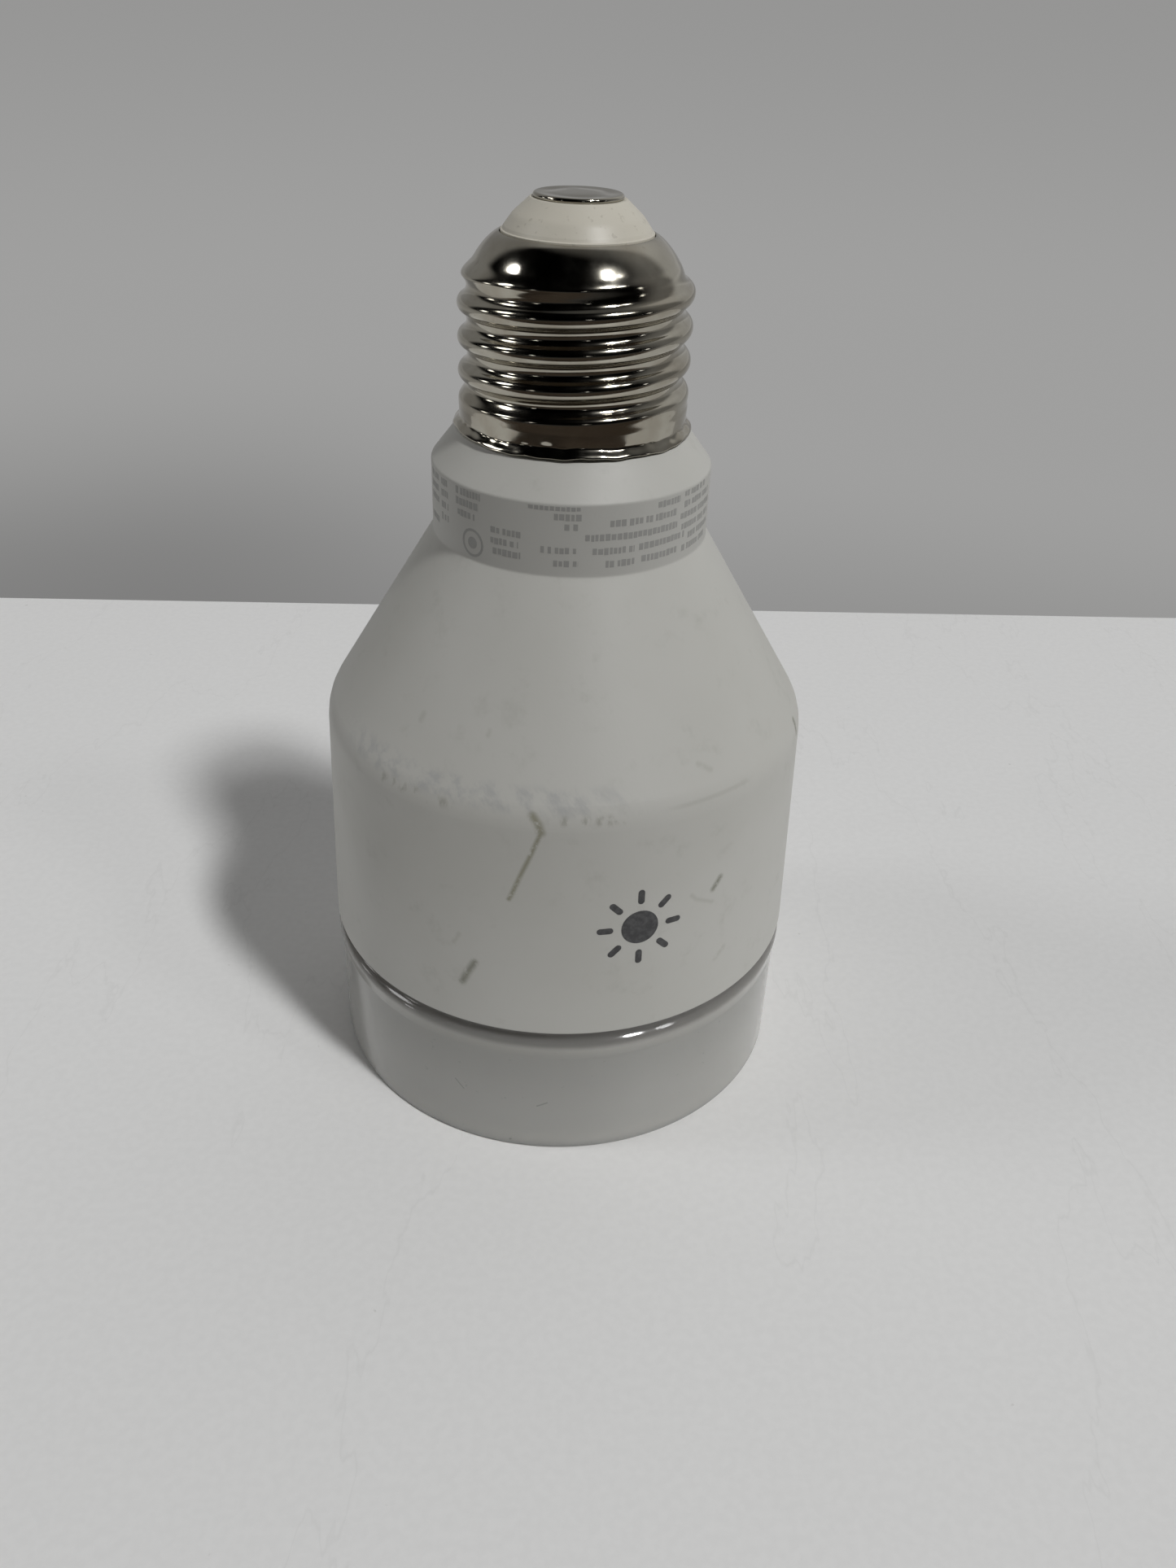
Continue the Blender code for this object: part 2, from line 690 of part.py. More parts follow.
# ---- Radio ---------------------------------------------------------------------------------------
def antenna_outline():
    """Meander of constant strip width, worked out turn by turn."""
    strip = 0.0005
    step = 0.0012
    height = 0.0032
    turns = 5
    upper, lower = [], []
    for turn in range(turns):
        x = 2 * step * turn
        upper += [(x, height), (x + step + strip, height), (x + step + strip, strip), (x + 2 * step, strip)]
        lower += [(x + strip, 0.0), (x + strip, height - strip), (x + step, height - strip), (x + step, 0.0)]
    end = 2 * step * turns
    outline = upper + [(end, 0.0)] + list(reversed(lower)) + [(0.0, 0.0)]
    return [(x - end / 2, y) for x, y in outline]


def make_radio():
    width, height = RADIO_SIZE
    board = flat("radio_board", [rectangle(width, height)], RADIO_THICK, "board_green")
    stand_up(board)
    board.location = (0.0, RADIO_Y, RADIO_Z)
    face_y = RADIO_Y - RADIO_THICK / 2 - GAP
    can_depth = 0.0022
    can_wall = 0.0003
    can_z = RADIO_Z + 0.0030
    can = box("radio_shield", (0.0110, can_depth, 0.0110), (0.0, face_y - can_depth / 2, can_z), "steel")
    hollow = add_cutter("shield_hollow", box_mesh("shield_hollow", (0.0104, can_depth, 0.0104)))
    hollow.location = (0.0, face_y - can_depth / 2 + can_wall, can_z)
    boolean(can, hollow, "DIFFERENCE")
    chip_depth = 0.0009
    box("radio_chip", (0.0050, chip_depth, 0.0050), (0.0, face_y - chip_depth / 2, can_z), "chip_black")
    antenna = stand_up(flat("antenna", [antenna_outline()], 0.0003, "copper"))
    antenna.location = (0.0, face_y - 0.00015, RADIO_Z - height / 2 + 0.0010)
    inner_y = RADIO_Y + RADIO_THICK / 2 + GAP
    outer_y = -FACE_Y
    header_size = (0.0120, outer_y - inner_y, 0.0024)
    box("radio_header", header_size, (0.0, (outer_y + inner_y) / 2, RADIO_Z + 0.0070), "chip_black")


def build():
    make_screw_shell()
    make_base_insulator()
    make_centre_contact()
    make_housing()
    make_diffuser()
    make_seal_ring()
    make_led_board()
    make_thermal_pad()
    make_heat_sink_cup()
    make_board_screws()
    make_leds("white_led", WHITE_LED_COUNT, WHITE_LED_RING_R, 0, WHITE_LED_SIZE, "phosphor_yellow")
    make_leds("colour_led", COLOUR_LED_COUNT, COLOUR_LED_RING_R, 45, COLOUR_LED_SIZE, "lens_clear")
    make_board_header()
    make_driver_sleeve()
    make_driver_board()
    make_transformer()
    make_choke()
    make_capacitor("bulk_capacitor", 0.0050, 0.0165, -0.0045, 0.0660)
    make_capacitor("output_capacitor", 0.0038, 0.0110, -0.0055, 0.0525)
    make_board_blocks()
    make_fuse_resistor()
    make_varistor()
    make_wires()
    make_radio()


build()
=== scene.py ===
"""The looks of the smart light bulb: camera, plain studio, detailed outer pieces and every material.

Runs in Blender 4.5 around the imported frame. Sizes are in metres and angles in degrees. The bulb's axis is
+Z, azimuth 0 faces -Y, where the camera stands, and a positive azimuth turns towards +X.
"""

import math
import random

import bmesh
import bpy
from mathutils import Matrix, Vector


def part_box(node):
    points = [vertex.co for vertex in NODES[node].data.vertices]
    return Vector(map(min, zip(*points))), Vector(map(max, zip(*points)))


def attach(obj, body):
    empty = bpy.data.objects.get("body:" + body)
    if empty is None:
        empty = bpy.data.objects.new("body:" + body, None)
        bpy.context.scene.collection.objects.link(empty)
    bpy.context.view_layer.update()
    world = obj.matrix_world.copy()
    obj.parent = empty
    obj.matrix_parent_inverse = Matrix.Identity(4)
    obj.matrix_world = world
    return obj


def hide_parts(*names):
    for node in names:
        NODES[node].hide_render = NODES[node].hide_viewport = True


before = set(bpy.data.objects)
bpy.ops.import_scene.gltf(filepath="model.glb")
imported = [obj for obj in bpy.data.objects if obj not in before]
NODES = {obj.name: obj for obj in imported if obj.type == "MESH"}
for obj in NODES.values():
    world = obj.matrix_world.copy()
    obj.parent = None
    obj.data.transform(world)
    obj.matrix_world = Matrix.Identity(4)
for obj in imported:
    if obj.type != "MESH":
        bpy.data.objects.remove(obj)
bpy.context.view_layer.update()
MM = 0.001

# ---- Sizes taken from the frame --------------------------------------------------------------------
HOUSING_LOW, HOUSING_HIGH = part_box("housing")
SHELL_LOW, SHELL_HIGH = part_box("screw_shell")
INSULATOR_LOW, INSULATOR_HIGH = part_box("base_insulator")
CONTACT_LOW, CONTACT_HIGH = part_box("centre_contact")
DIFFUSER_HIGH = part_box("diffuser")[1]

RIM_R = HOUSING_HIGH.x
RIM_Z = HOUSING_LOW.z
SPIGOT_TOP_Z = HOUSING_HIGH.z
LIP_R = SHELL_HIGH.x
LIP_Z = SHELL_LOW.z
DOME_TOP_Z = SHELL_HIGH.z
CONTACT_R = CONTACT_HIGH.x
CONTACT_TOP_Z = CONTACT_HIGH.z
DIFFUSER_LIP_R = DIFFUSER_HIGH.x
PLUG_TOP_Z = DIFFUSER_HIGH.z

# ---- Sizes that the frame's boxes don't give ------------------------------------------------------------
# They are the CAD's, except that the sheet is thinner, the thread deeper and the dome's hole smaller here.
PITCH = 25.4 / 7 * MM
CREST_R = 13.10 * MM
THREAD_DEPTH = 1.06 * MM
ROOT_R = CREST_R - THREAD_DEPTH
THREAD_ARC_R = PITCH / 4 / math.sin(2 * math.atan(THREAD_DEPTH / (PITCH / 2)))
CREST_Z = 101.95 * MM
CREST_AZIMUTH = 90
DOME_Z = 102.8 * MM
THREAD_FADE_Z = 102.2 * MM
THREAD_END_Z = 105.0 * MM
DOME_HOLE_R = 8.45 * MM
COLLAR_TOP_Z = 90.8 * MM
COLLAR_FADE = 0.35 * PITCH
SHEET = 0.35 * MM
NECK_R = 16.40 * MM
NECK_TOP_Z = 83.0 * MM
NECK_Z = 74.7 * MM
SHOULDER_R = 30.4 * MM
SHOULDER_Z = 51.8 * MM
SHOULDER_FILLET = 6.0 * MM
HOUSING_WALL = 1.5 * MM
DIFFUSER_R = 31.05 * MM
DIFFUSER_LIP_Z = 18.2 * MM
DIFFUSER_WALL = 1.3 * MM
PLUG_R = 28.8 * MM

# ---- Camera: the view of the reference, from close by and above --------------------------------------
CAMERA_PLACE = Vector((0.0, -147.24 * MM, 131.56 * MM))
CAMERA_PITCH = 32.617
CAMERA_YAW = 1.338
CAMERA_ROLL = 2.26
CAMERA_LENS = 29.357

# ---- Studio ------------------------------------------------------------------------------------------
# Lamps: name, azimuth, elevation, apparent size in degrees, strength.
LAMPS = [
    ("key", 44, 50, 6, 1.02),
    ("key_high", 47, 54, 6, 0.76),
    ("key_side", 60, 45, 7, 0.14),
    ("left", -88, 38, 14, 0.29),
    ("left_low", -71, 15, 6, 0.09),
    ("far_left", -100, 15, 8, 0.06),
    ("small_left", -42, 14, 4, 0.012),
    ("small_right", 12, 14, 3, 0.006),
    ("far_right", 73, 14, 4, 0.012),
]
# Soft patches of the surroundings: azimuth, elevation, angles where each starts to fade and ends, strength.
PATCHES = [
    (180, 14, 50, 62, 0.250),
    (150, 60, 10, 40, 0.110),
    (125, 20, 20, 55, 0.190),
]
TABLE_TILT = 0.029
TABLE_BACK_Y = 137.5 * MM
TABLE_FRONT_Y = -125 * MM
TABLE_REACH = 1.2

# ---- Marks on the bulb: points as (azimuth, height in mm), then the width in mm -----------------------
SCRATCH = [
    (-6.2, 52.1), (-4.9, 51.1), (-4.3, 50.1),
    (-6.7, 46.6), (-8.4, 44.3), (-10.5, 41.2), (-11.0, 40.6),
]
SCRATCH_AND_HEAD = [(SCRATCH, 0.50), (SCRATCH[:3], 0.85)]
SMUDGES = [
    ([(-21.8, 26.9), (-20.6, 28.4), (-18.8, 30.3)], 0.8),
    ([(36.6, 38.7), (38.5, 40.0)], 0.7),
    ([(74, 51.2), (74.4, 52.8)], 0.7),
]
FAINT_MARKS = [
    ([(30.5, 39.0), (31.8, 38.2), (36.6, 36.8)], 0.5),
    ([(-38.5, 58.6), (-38.3, 59.2)], 0.7),
    ([(-19, 59.1), (-18.8, 59.5)], 0.5),
    ([(-24.0, 32.5), (-22.5, 34.0)], 0.5),
    ([(33.0, 55.5), (36.0, 54.6)], 0.6),
    ([(39.0, 27.5), (41.5, 28.6)], 0.7),
]
DIFFUSER_MARKS = [
    ([(-4.1, 7.7), (-1.7, 8.4)], 0.18),
    ([(-24.5, 9.6), (-22.3, 8.3)], 0.15),
    ([(-10.6, 1.0), (-10.4, 1.1)], 0.25),
    ([(21.0, 19.9), (20.6, 19.2)], 0.35),
]
# Bands round the housing, in mm: height, then how far from it the band starts to fade and ends.
# The first band is painted shade on the neck's upright face, which faces the dim room.
NECK_SHADE_BAND = (78.9, 3.9, 4.3)
SCUFF_BAND = (53.4, 0.6, 2.0)
DAB_BAND = (51.6, 0.10, 0.95)
EDGE_LINE_BAND = (51.9, 0.05, 0.45)
# Stretches of those bands: azimuth, then how far from it the stretch starts to fade and ends.
SCUFF_STRETCH = (-22.0, 24.0, 46.0)
DAB_STRETCHES = [(-35.0, 8.0, 17.0), (6.0, 5.0, 11.0)]
EDGE_LINE_STRETCH = (35.0, 6.0, 14.0)

# ---- Mesh steps: segments round the axis, degrees in one step of a corner, radius that counts as 0 -----
LARGE_SEGMENTS = 192
SHELL_SEGMENTS = 288
SMALL_SEGMENTS = 128
ARC_STEP = 9
ON_AXIS_R = 1e-6


# ---- Camera and stage --------------------------------------------------------------------------------
def make_camera():
    pitch, yaw, roll = (math.radians(v) for v in (CAMERA_PITCH, CAMERA_YAW, CAMERA_ROLL))
    forward = Vector((math.sin(yaw) * math.cos(pitch), math.cos(yaw) * math.cos(pitch), -math.sin(pitch)))
    right = Vector((math.cos(yaw), -math.sin(yaw), 0.0))
    up = right.cross(forward)
    turned_right = right * math.cos(roll) + up * math.sin(roll)
    turned_up = up * math.cos(roll) - right * math.sin(roll)
    turn = Matrix((turned_right, turned_up, -forward)).transposed()
    data = bpy.data.cameras.new("camera")
    data.lens = CAMERA_LENS
    data.clip_start = 0.01
    camera = bpy.data.objects.new("camera", data)
    camera.matrix_world = Matrix.Translation(CAMERA_PLACE) @ turn.to_4x4()
    bpy.context.scene.collection.objects.link(camera)
    bpy.context.scene.camera = camera


def direction(azimuth, elevation):
    """Unit vector towards a place round the bulb; azimuth 0 is -Y and 90 is +X."""
    a, e = math.radians(azimuth), math.radians(elevation)
    return Vector((math.sin(a) * math.cos(e), -math.cos(a) * math.cos(e), math.sin(e)))


def make_lamp(name, azimuth, elevation, size, strength):
    """A sun lamp that shines from a place round the bulb."""
    data = bpy.data.lights.new(name, "SUN")
    data.angle = math.radians(size)
    data.energy = strength
    lamp = bpy.data.objects.new(name, data)
    lamp.rotation_euler = direction(azimuth, elevation).to_track_quat("Z", "Y").to_euler()
    bpy.context.scene.collection.objects.link(lamp)


# ---- Shader building blocks ---------------------------------------------------------------------------
def node(tree, kind, inputs=None, **settings):
    """Adds a shader node. inputs holds a socket to link or a value to set, by socket name or number."""
    made = tree.nodes.new(kind)
    for key, value in settings.items():
        setattr(made, key, value)
    for key, value in (inputs or {}).items():
        if isinstance(value, bpy.types.NodeSocket):
            tree.links.new(value, made.inputs[key])
        else:
            made.inputs[key].default_value = value
    return made


def new_material(name, **sockets):
    """A Principled material. Keyword values go straight onto the shader's own sockets."""
    material = bpy.data.materials.new(name)
    material.use_nodes = True
    tree = material.node_tree
    shader = tree.nodes["Principled BSDF"]
    for key, value in sockets.items():
        shader.inputs[key.replace("_", " ")].default_value = value
    return material, tree, shader


def coordinates(tree):
    return node(tree, "ShaderNodeTexCoord").outputs["Object"]


def stretched(tree, place, scale):
    return node(tree, "ShaderNodeVectorMath", {0: place, 1: scale}, operation="MULTIPLY").outputs[0]


def noise(tree, place, scale, detail=3.0, roughness=0.5):
    inputs = {"Vector": place, "Scale": scale, "Detail": detail, "Roughness": roughness}
    return node(tree, "ShaderNodeTexNoise", inputs).outputs["Fac"]


def smooth_step(tree, value, low, high, bottom=0.0, top=1.0):
    inputs = {"Value": value, "From Min": low, "From Max": high, "To Min": bottom, "To Max": top}
    return node(tree, "ShaderNodeMapRange", inputs, interpolation_type="SMOOTHSTEP").outputs["Result"]


def maths(tree, operation, first, second=0.0, clamp=False):
    made = node(tree, "ShaderNodeMath", {0: first, 1: second}, operation=operation, use_clamp=clamp)
    return made.outputs[0]


def combine(tree, operation, *values):
    result = values[0]
    for value in values[1:]:
        result = maths(tree, operation, result, value)
    return result


def blend(tree, factor, first, second):
    """Mixes two colours, given as tuples or sockets."""
    made = node(tree, "ShaderNodeMix", data_type="RGBA")
    for index, value in ((0, factor), (6, first), (7, second)):
        if isinstance(value, bpy.types.NodeSocket):
            tree.links.new(value, made.inputs[index])
        elif index == 0:
            made.inputs[index].default_value = value
        else:
            made.inputs[index].default_value = (*value, 1.0)
    return made.outputs[2]


def bump(tree, height, distance, strength):
    inputs = {"Height": height, "Distance": distance, "Strength": strength}
    return node(tree, "ShaderNodeBump", inputs).outputs["Normal"]


def height_and_azimuth(tree, place):
    split = node(tree, "ShaderNodeSeparateXYZ", {0: place})
    minus_y = maths(tree, "MULTIPLY", split.outputs["Y"], -1.0)
    angle = maths(tree, "ARCTAN2", split.outputs["X"], minus_y)
    return split.outputs["Z"], maths(tree, "MULTIPLY", angle, math.degrees(1))


def hump(tree, value, centre, inner, outer):
    """1 within inner of the centre, falling to 0 at outer."""
    distance = maths(tree, "ABSOLUTE", maths(tree, "SUBTRACT", value, centre))
    return smooth_step(tree, distance, inner, outer, 1.0, 0.0)


def band_mask(tree, z, band):
    """Mask of a band round the bulb, given in mm."""
    return hump(tree, z, *[value * MM for value in band])


def stroke_mask(tree, place, start, end, width):
    """1 along a straight stroke from start to end, falling to 0 at width from it."""
    along = end - start
    from_start = node(tree, "ShaderNodeVectorMath", {0: place, 1: start}, operation="SUBTRACT").outputs[0]
    dot = node(tree, "ShaderNodeVectorMath", {0: from_start, 1: along}, operation="DOT_PRODUCT")
    share = maths(tree, "MULTIPLY", dot.outputs["Value"], 1.0 / along.length_squared, clamp=True)
    nearest = node(tree, "ShaderNodeVectorMath", {0: along, "Scale": share}, operation="SCALE").outputs[0]
    distance = node(tree, "ShaderNodeVectorMath", {0: from_start, 1: nearest}, operation="DISTANCE")
    return smooth_step(tree, distance.outputs["Value"], 0.0, width, 1.0, 0.0)


def outer_radius(z):
    """Outer radius of the housing, or of the diffuser below it."""
    profile = [
        (0.0, DIFFUSER_R), (RIM_Z, DIFFUSER_R), (RIM_Z, RIM_R), (SHOULDER_Z, SHOULDER_R),
        (NECK_Z, NECK_R), (NECK_TOP_Z, NECK_R), (LIP_Z, LIP_R),
    ]
    for (low_z, low_r), (high_z, high_r) in zip(profile, profile[1:]):
        if low_z < high_z and z <= high_z:
            return low_r + (high_r - low_r) * (z - low_z) / (high_z - low_z)
    return LIP_R


def on_bulb(azimuth, z):
    return direction(azimuth, 0) * outer_radius(z) + Vector((0, 0, z))


def path_mask(tree, place, points, width):
    """Mask of a bent line through (azimuth, height in mm) points on the bulb's surface."""
    places = [on_bulb(azimuth, height * MM) for azimuth, height in points]
    strokes = [stroke_mask(tree, place, a, b, width * MM) for a, b in zip(places, places[1:])]
    return combine(tree, "MAXIMUM", *strokes)


def marks_mask(tree, place, marks):
    return combine(tree, "MAXIMUM", *[path_mask(tree, place, points, width) for points, width in marks])


# ---- Outlines and turned meshes -----------------------------------------------------------------------
def rounded(corners):
    """A closed outline from (radius, height, fillet) corners, each rounded by its own fillet.

    Every straight stretch gets a point just inside both its ends, which keeps its shading flat.
    """
    support = 0.12 * MM
    smallest = 0.01 * MM
    outline = []
    count = len(corners)
    for index, (r, z, fillet) in enumerate(corners):
        corner = Vector((r, z))
        before = Vector(corners[index - 1][:2]) - corner
        after = Vector(corners[(index + 1) % count][:2]) - corner
        room = 0.45 * min(before.length, after.length)
        to_before, to_after = before.normalized(), after.normalized()
        half = to_before.angle(to_after) / 2
        reach = min(fillet / math.tan(half), room)
        radius = reach * math.tan(half)
        if r < ON_AXIS_R or radius < smallest:
            outline.append((r, z))
            continue
        centre = corner + (to_before + to_after).normalized() * (radius / math.sin(half))
        start = corner + to_before * reach - centre
        end = corner + to_after * reach - centre
        first = math.atan2(start.y, start.x)
        turn = math.atan2(start.x * end.y - start.y * end.x, start.dot(end))
        pieces = max(3, round(abs(math.degrees(turn)) / ARC_STEP))
        lead = corner + to_before * (reach + min(support, room / 4))
        outline.append((lead.x, lead.y))
        for step in range(pieces + 1):
            angle = first + turn * step / pieces
            outline.append((centre.x + radius * math.cos(angle), centre.y + radius * math.sin(angle)))
        tail = corner + to_after * (reach + min(support, room / 4))
        outline.append((tail.x, tail.y))
    return outline


def link_mesh(name, vertices, faces):
    mesh = bpy.data.meshes.new(name)
    mesh.from_pydata(vertices, [], faces)
    mesh.shade_smooth()
    mesh.update()
    piece = bpy.data.objects.new(name, mesh)
    bpy.context.scene.collection.objects.link(piece)
    return piece


def turned(name, outline, segments=LARGE_SEGMENTS, shape=None, closed=True):
    """Turns an outline of (radius, height) points, outer side from top to bottom, round the axis.

    shape, if given, moves each point: it takes azimuth, radius, height and row, and returns a place.
    """
    vertices, rings = [], []
    for row, (r, z) in enumerate(outline):
        ring = []
        for segment in range(1 if r < ON_AXIS_R else segments):
            azimuth = 360 * segment / segments
            place = shape(azimuth, r, z, row) if shape else direction(azimuth, 0) * r + Vector((0, 0, z))
            ring.append(len(vertices))
            vertices.append(place)
        rings.append(ring)
    pairs = list(zip(rings, rings[1:]))
    if closed:
        pairs.append((rings[-1], rings[0]))
    faces = []
    for upper, lower in pairs:
        for segment in range(segments):
            after = (segment + 1) % segments
            corners = [
                upper[segment % len(upper)], lower[segment % len(lower)],
                lower[after % len(lower)], upper[after % len(upper)],
            ]
            face = list(dict.fromkeys(corners))
            if len(face) > 2:
                faces.append(face)
    return link_mesh(name, vertices, faces)


def finish_piece(piece, material, replaced=None):
    piece.data.materials.clear()
    piece.data.materials.append(material)
    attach(piece, "root")
    if replaced:
        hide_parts(replaced)


# ---- Screw base ---------------------------------------------------------------------------------------
def ease(value, low, high):
    t = min(max((value - low) / (high - low), 0.0), 1.0)
    return t * t * (3 - 2 * t)


def thread_lift(azimuth, z):
    """How far the rolled thread stands out from its root at a place on the shell.

    Its profile is two arcs, which meet a quarter of a pitch from the crest. It fades out in the dome, and
    at the foot it gives way to a plain collar.
    """
    turns = (z - CREST_Z) / PITCH - (azimuth - CREST_AZIMUTH) / 360
    from_crest = abs(turns - round(turns)) * PITCH
    if from_crest < PITCH / 4:
        crest = THREAD_DEPTH - THREAD_ARC_R + math.sqrt(THREAD_ARC_R ** 2 - from_crest ** 2)
    else:
        crest = THREAD_ARC_R - math.sqrt(THREAD_ARC_R ** 2 - (PITCH / 2 - from_crest) ** 2)
    crest *= 1 - ease(z, THREAD_FADE_Z, THREAD_END_Z)
    collar = 1 - ease(z, COLLAR_TOP_Z - COLLAR_FADE, COLLAR_TOP_Z + COLLAR_FADE)
    return collar * THREAD_DEPTH + (1 - collar) * crest


# The crimped lower edge. Waves: size in mm, number in a full turn, phase.
WAVES_OUT = [(0.05, 7, 0.6), (0.02, 17, 2.0)]
WAVES_UP = [(0.09, 5, 1.0), (0.06, 13, 0.0), (0.04, 29, 0.0)]
# Dents: the ranges of their depth, height above the edge and width in mm, and of the angle between two.
DENT_DEPTH = (0.04, 0.14)
DENT_HEIGHT = (0.5, 1.1)
DENT_WIDTH = (0.35, 0.7)
DENT_SPACING = (6, 13)
# How far round a dent is felt, in degrees, and its height as a share of its width.
DENT_REACH = 20
DENT_FLATNESS = 0.55
WAVE_TOP_Z = LIP_Z + 2.2 * MM
DENT_TOP_Z = LIP_Z + 4 * MM


def crimp_dents():
    """Places round the lower edge where the tool pressed the sheet: (azimuth, height, depth, width)."""
    spread = random.Random(7)
    dents = []
    azimuth = -180.0
    while azimuth < 178:
        depth = spread.uniform(*DENT_DEPTH) * MM
        height = LIP_Z + spread.uniform(*DENT_HEIGHT) * MM
        dents.append((azimuth, height, depth, spread.uniform(*DENT_WIDTH) * MM))
        azimuth += spread.uniform(*DENT_SPACING)
    return dents


DENTS = crimp_dents()


def wave_height(waves, azimuth):
    a = math.radians(azimuth)
    return sum(size * math.sin(number * a + phase) for size, number, phase in waves) * MM


def collar_shift(azimuth, z):
    """Outward and upward shift of the crimped lower edge: soft waves and pressed dents."""
    if z > DENT_TOP_Z:
        return 0.0, 0.0
    edge = 1 - ease(z, LIP_Z, WAVE_TOP_Z)
    outward = wave_height(WAVES_OUT, azimuth) * edge
    upward = wave_height(WAVES_UP, azimuth) * edge
    for dent, height, depth, width in DENTS:
        turn = (azimuth - dent + 180) % 360 - 180
        if abs(turn) < DENT_REACH:
            across = math.radians(turn) * CREST_R / width
            up = (z - height) / (DENT_FLATNESS * width)
            outward -= depth * math.exp(-across * across - up * up)
    return outward, upward


def make_screw_shell():
    """The rolled shell: a dome, the thread, the crimped edge, and the inner side back up."""
    width, height = ROOT_R - DOME_HOLE_R, DOME_TOP_Z - DOME_Z
    hole_edge_r = DOME_HOLE_R - 0.05 * MM
    outline = [(hole_edge_r, DOME_TOP_Z - SHEET), (hole_edge_r, DOME_TOP_Z - 0.1 * MM)]
    # The dome is a quarter of a superellipse. A power of 2 would make it an ellipse, and 1 a cone.
    dome_rows, dome_power = 40, 1.4
    for step in range(dome_rows + 1):
        angle = math.radians(90 - 90 * step / dome_rows)
        across, up = math.cos(angle) ** (2 / dome_power), math.sin(angle) ** (2 / dome_power)
        outline.append((DOME_HOLE_R + width * across, DOME_Z + height * up))
    thread_rows = 170
    thread_bottom = LIP_Z + 2.4 * MM
    for row in range(1, thread_rows + 1):
        outline.append((ROOT_R, DOME_Z + (thread_bottom - DOME_Z) * row / thread_rows))
    flare, flare_start, waist = LIP_R - CREST_R, 0.55, 0.05 * MM
    lip_rows = 28
    for row in range(1, lip_rows + 1):
        share = row / lip_rows
        spread = flare * ease(share, flare_start, 1.0) - waist * math.sin(math.pi * share)
        outline.append((ROOT_R + spread, thread_bottom + (LIP_Z - thread_bottom) * share))
    outer_rows = len(outline)
    # Inside, every fourth row of the edge comes back up, then a plain bore and a slope under the dome.
    inner_rows, row_step = 24, 4
    edge_rows = outline[outer_rows - 1:outer_rows - 1 - inner_rows:-row_step]
    bore_r = ROOT_R - SHEET - 0.1 * MM
    inner = [(r - SHEET, z) for r, z in edge_rows]
    inner += [(bore_r, LIP_Z + 3.2 * MM), (bore_r, DOME_Z)]
    inner += [(DOME_HOLE_R + 0.5 * width, DOME_Z + 0.58 * height)]
    inner_lift_z = LIP_Z + 3 * MM
    dome_lift_r = DOME_HOLE_R + 0.2 * width

    def shape(azimuth, r, z, row):
        outside = row < outer_rows and r > dome_lift_r
        lift = thread_lift(azimuth, z) if outside or z < inner_lift_z else 0.0
        outward, upward = collar_shift(azimuth, z)
        return direction(azimuth, 0) * (r + lift + outward) + Vector((0, 0, z + upward))

    return turned("screw_shell_rolled", outline + inner, SHELL_SEGMENTS, shape)


def make_insulator():
    """The moulded insulator: a rounded cap down to a small step, and the flange inside the shell."""
    hole_r = 1.6 * MM
    top_r, top_z = CONTACT_R + 0.30 * MM, CONTACT_TOP_Z - 0.50 * MM
    slope_r, slope_z = 7.05 * MM, 109.25 * MM
    foot_r, foot_z = 7.95 * MM, 108.05 * MM
    step_r, step_z = 8.12 * MM, 107.74 * MM
    side_r, side_z = 8.30 * MM, 107.66 * MM
    flange_r, low_z = INSULATOR_HIGH.x, INSULATOR_LOW.z
    flange_z = low_z + 1.6 * MM
    corners = [
        (hole_r, top_z, 0), (top_r, top_z, 0.2 * MM), (slope_r, slope_z, 3 * MM),
        (foot_r, foot_z, 0.8 * MM), (step_r, step_z, 0.06 * MM),
        (side_r, side_z, 0.08 * MM), (side_r, flange_z, 0), (flange_r, flange_z, 0),
        (flange_r, low_z, 0), (hole_r, low_z, 0),
    ]
    return turned("base_insulator_moulded", rounded(corners), SMALL_SEGMENTS)


def make_contact():
    """The pressed contact: flat on top, with a low wavy ring where the tool closed it."""
    thick = 0.45 * MM
    stem_r = 1.2 * MM
    top_rows, edge_rows = 20, 8
    edge = 0.30 * MM
    flat_r = CONTACT_R - edge
    ring_r, ring_width, ring_depth = 3.3 * MM, 0.8 * MM, 0.05 * MM
    outline = [(flat_r * row / top_rows, CONTACT_TOP_Z) for row in range(top_rows)]
    for row in range(edge_rows + 1):
        turn = math.radians(90 - 90 * row / edge_rows)
        outline.append((flat_r + edge * math.cos(turn), CONTACT_TOP_Z - edge + edge * math.sin(turn)))
    bottom_z = CONTACT_TOP_Z - thick
    outline += [(CONTACT_R, bottom_z), (stem_r, bottom_z), (stem_r, CONTACT_LOW.z), (0, CONTACT_LOW.z)]

    def shape(azimuth, r, z, row):
        if row > top_rows:
            return direction(azimuth, 0) * r + Vector((0, 0, z))
        a = math.radians(azimuth)
        ring = math.exp(-((r - ring_r) / ring_width) ** 2)
        sink = ring_depth * ring * (1 + 0.5 * math.sin(3 * a + 1.3) + 0.3 * math.sin(5 * a))
        return direction(azimuth, 0) * r + Vector((0, 0, z - sink))

    return turned("centre_contact_pressed", outline, SMALL_SEGMENTS, shape, closed=False)


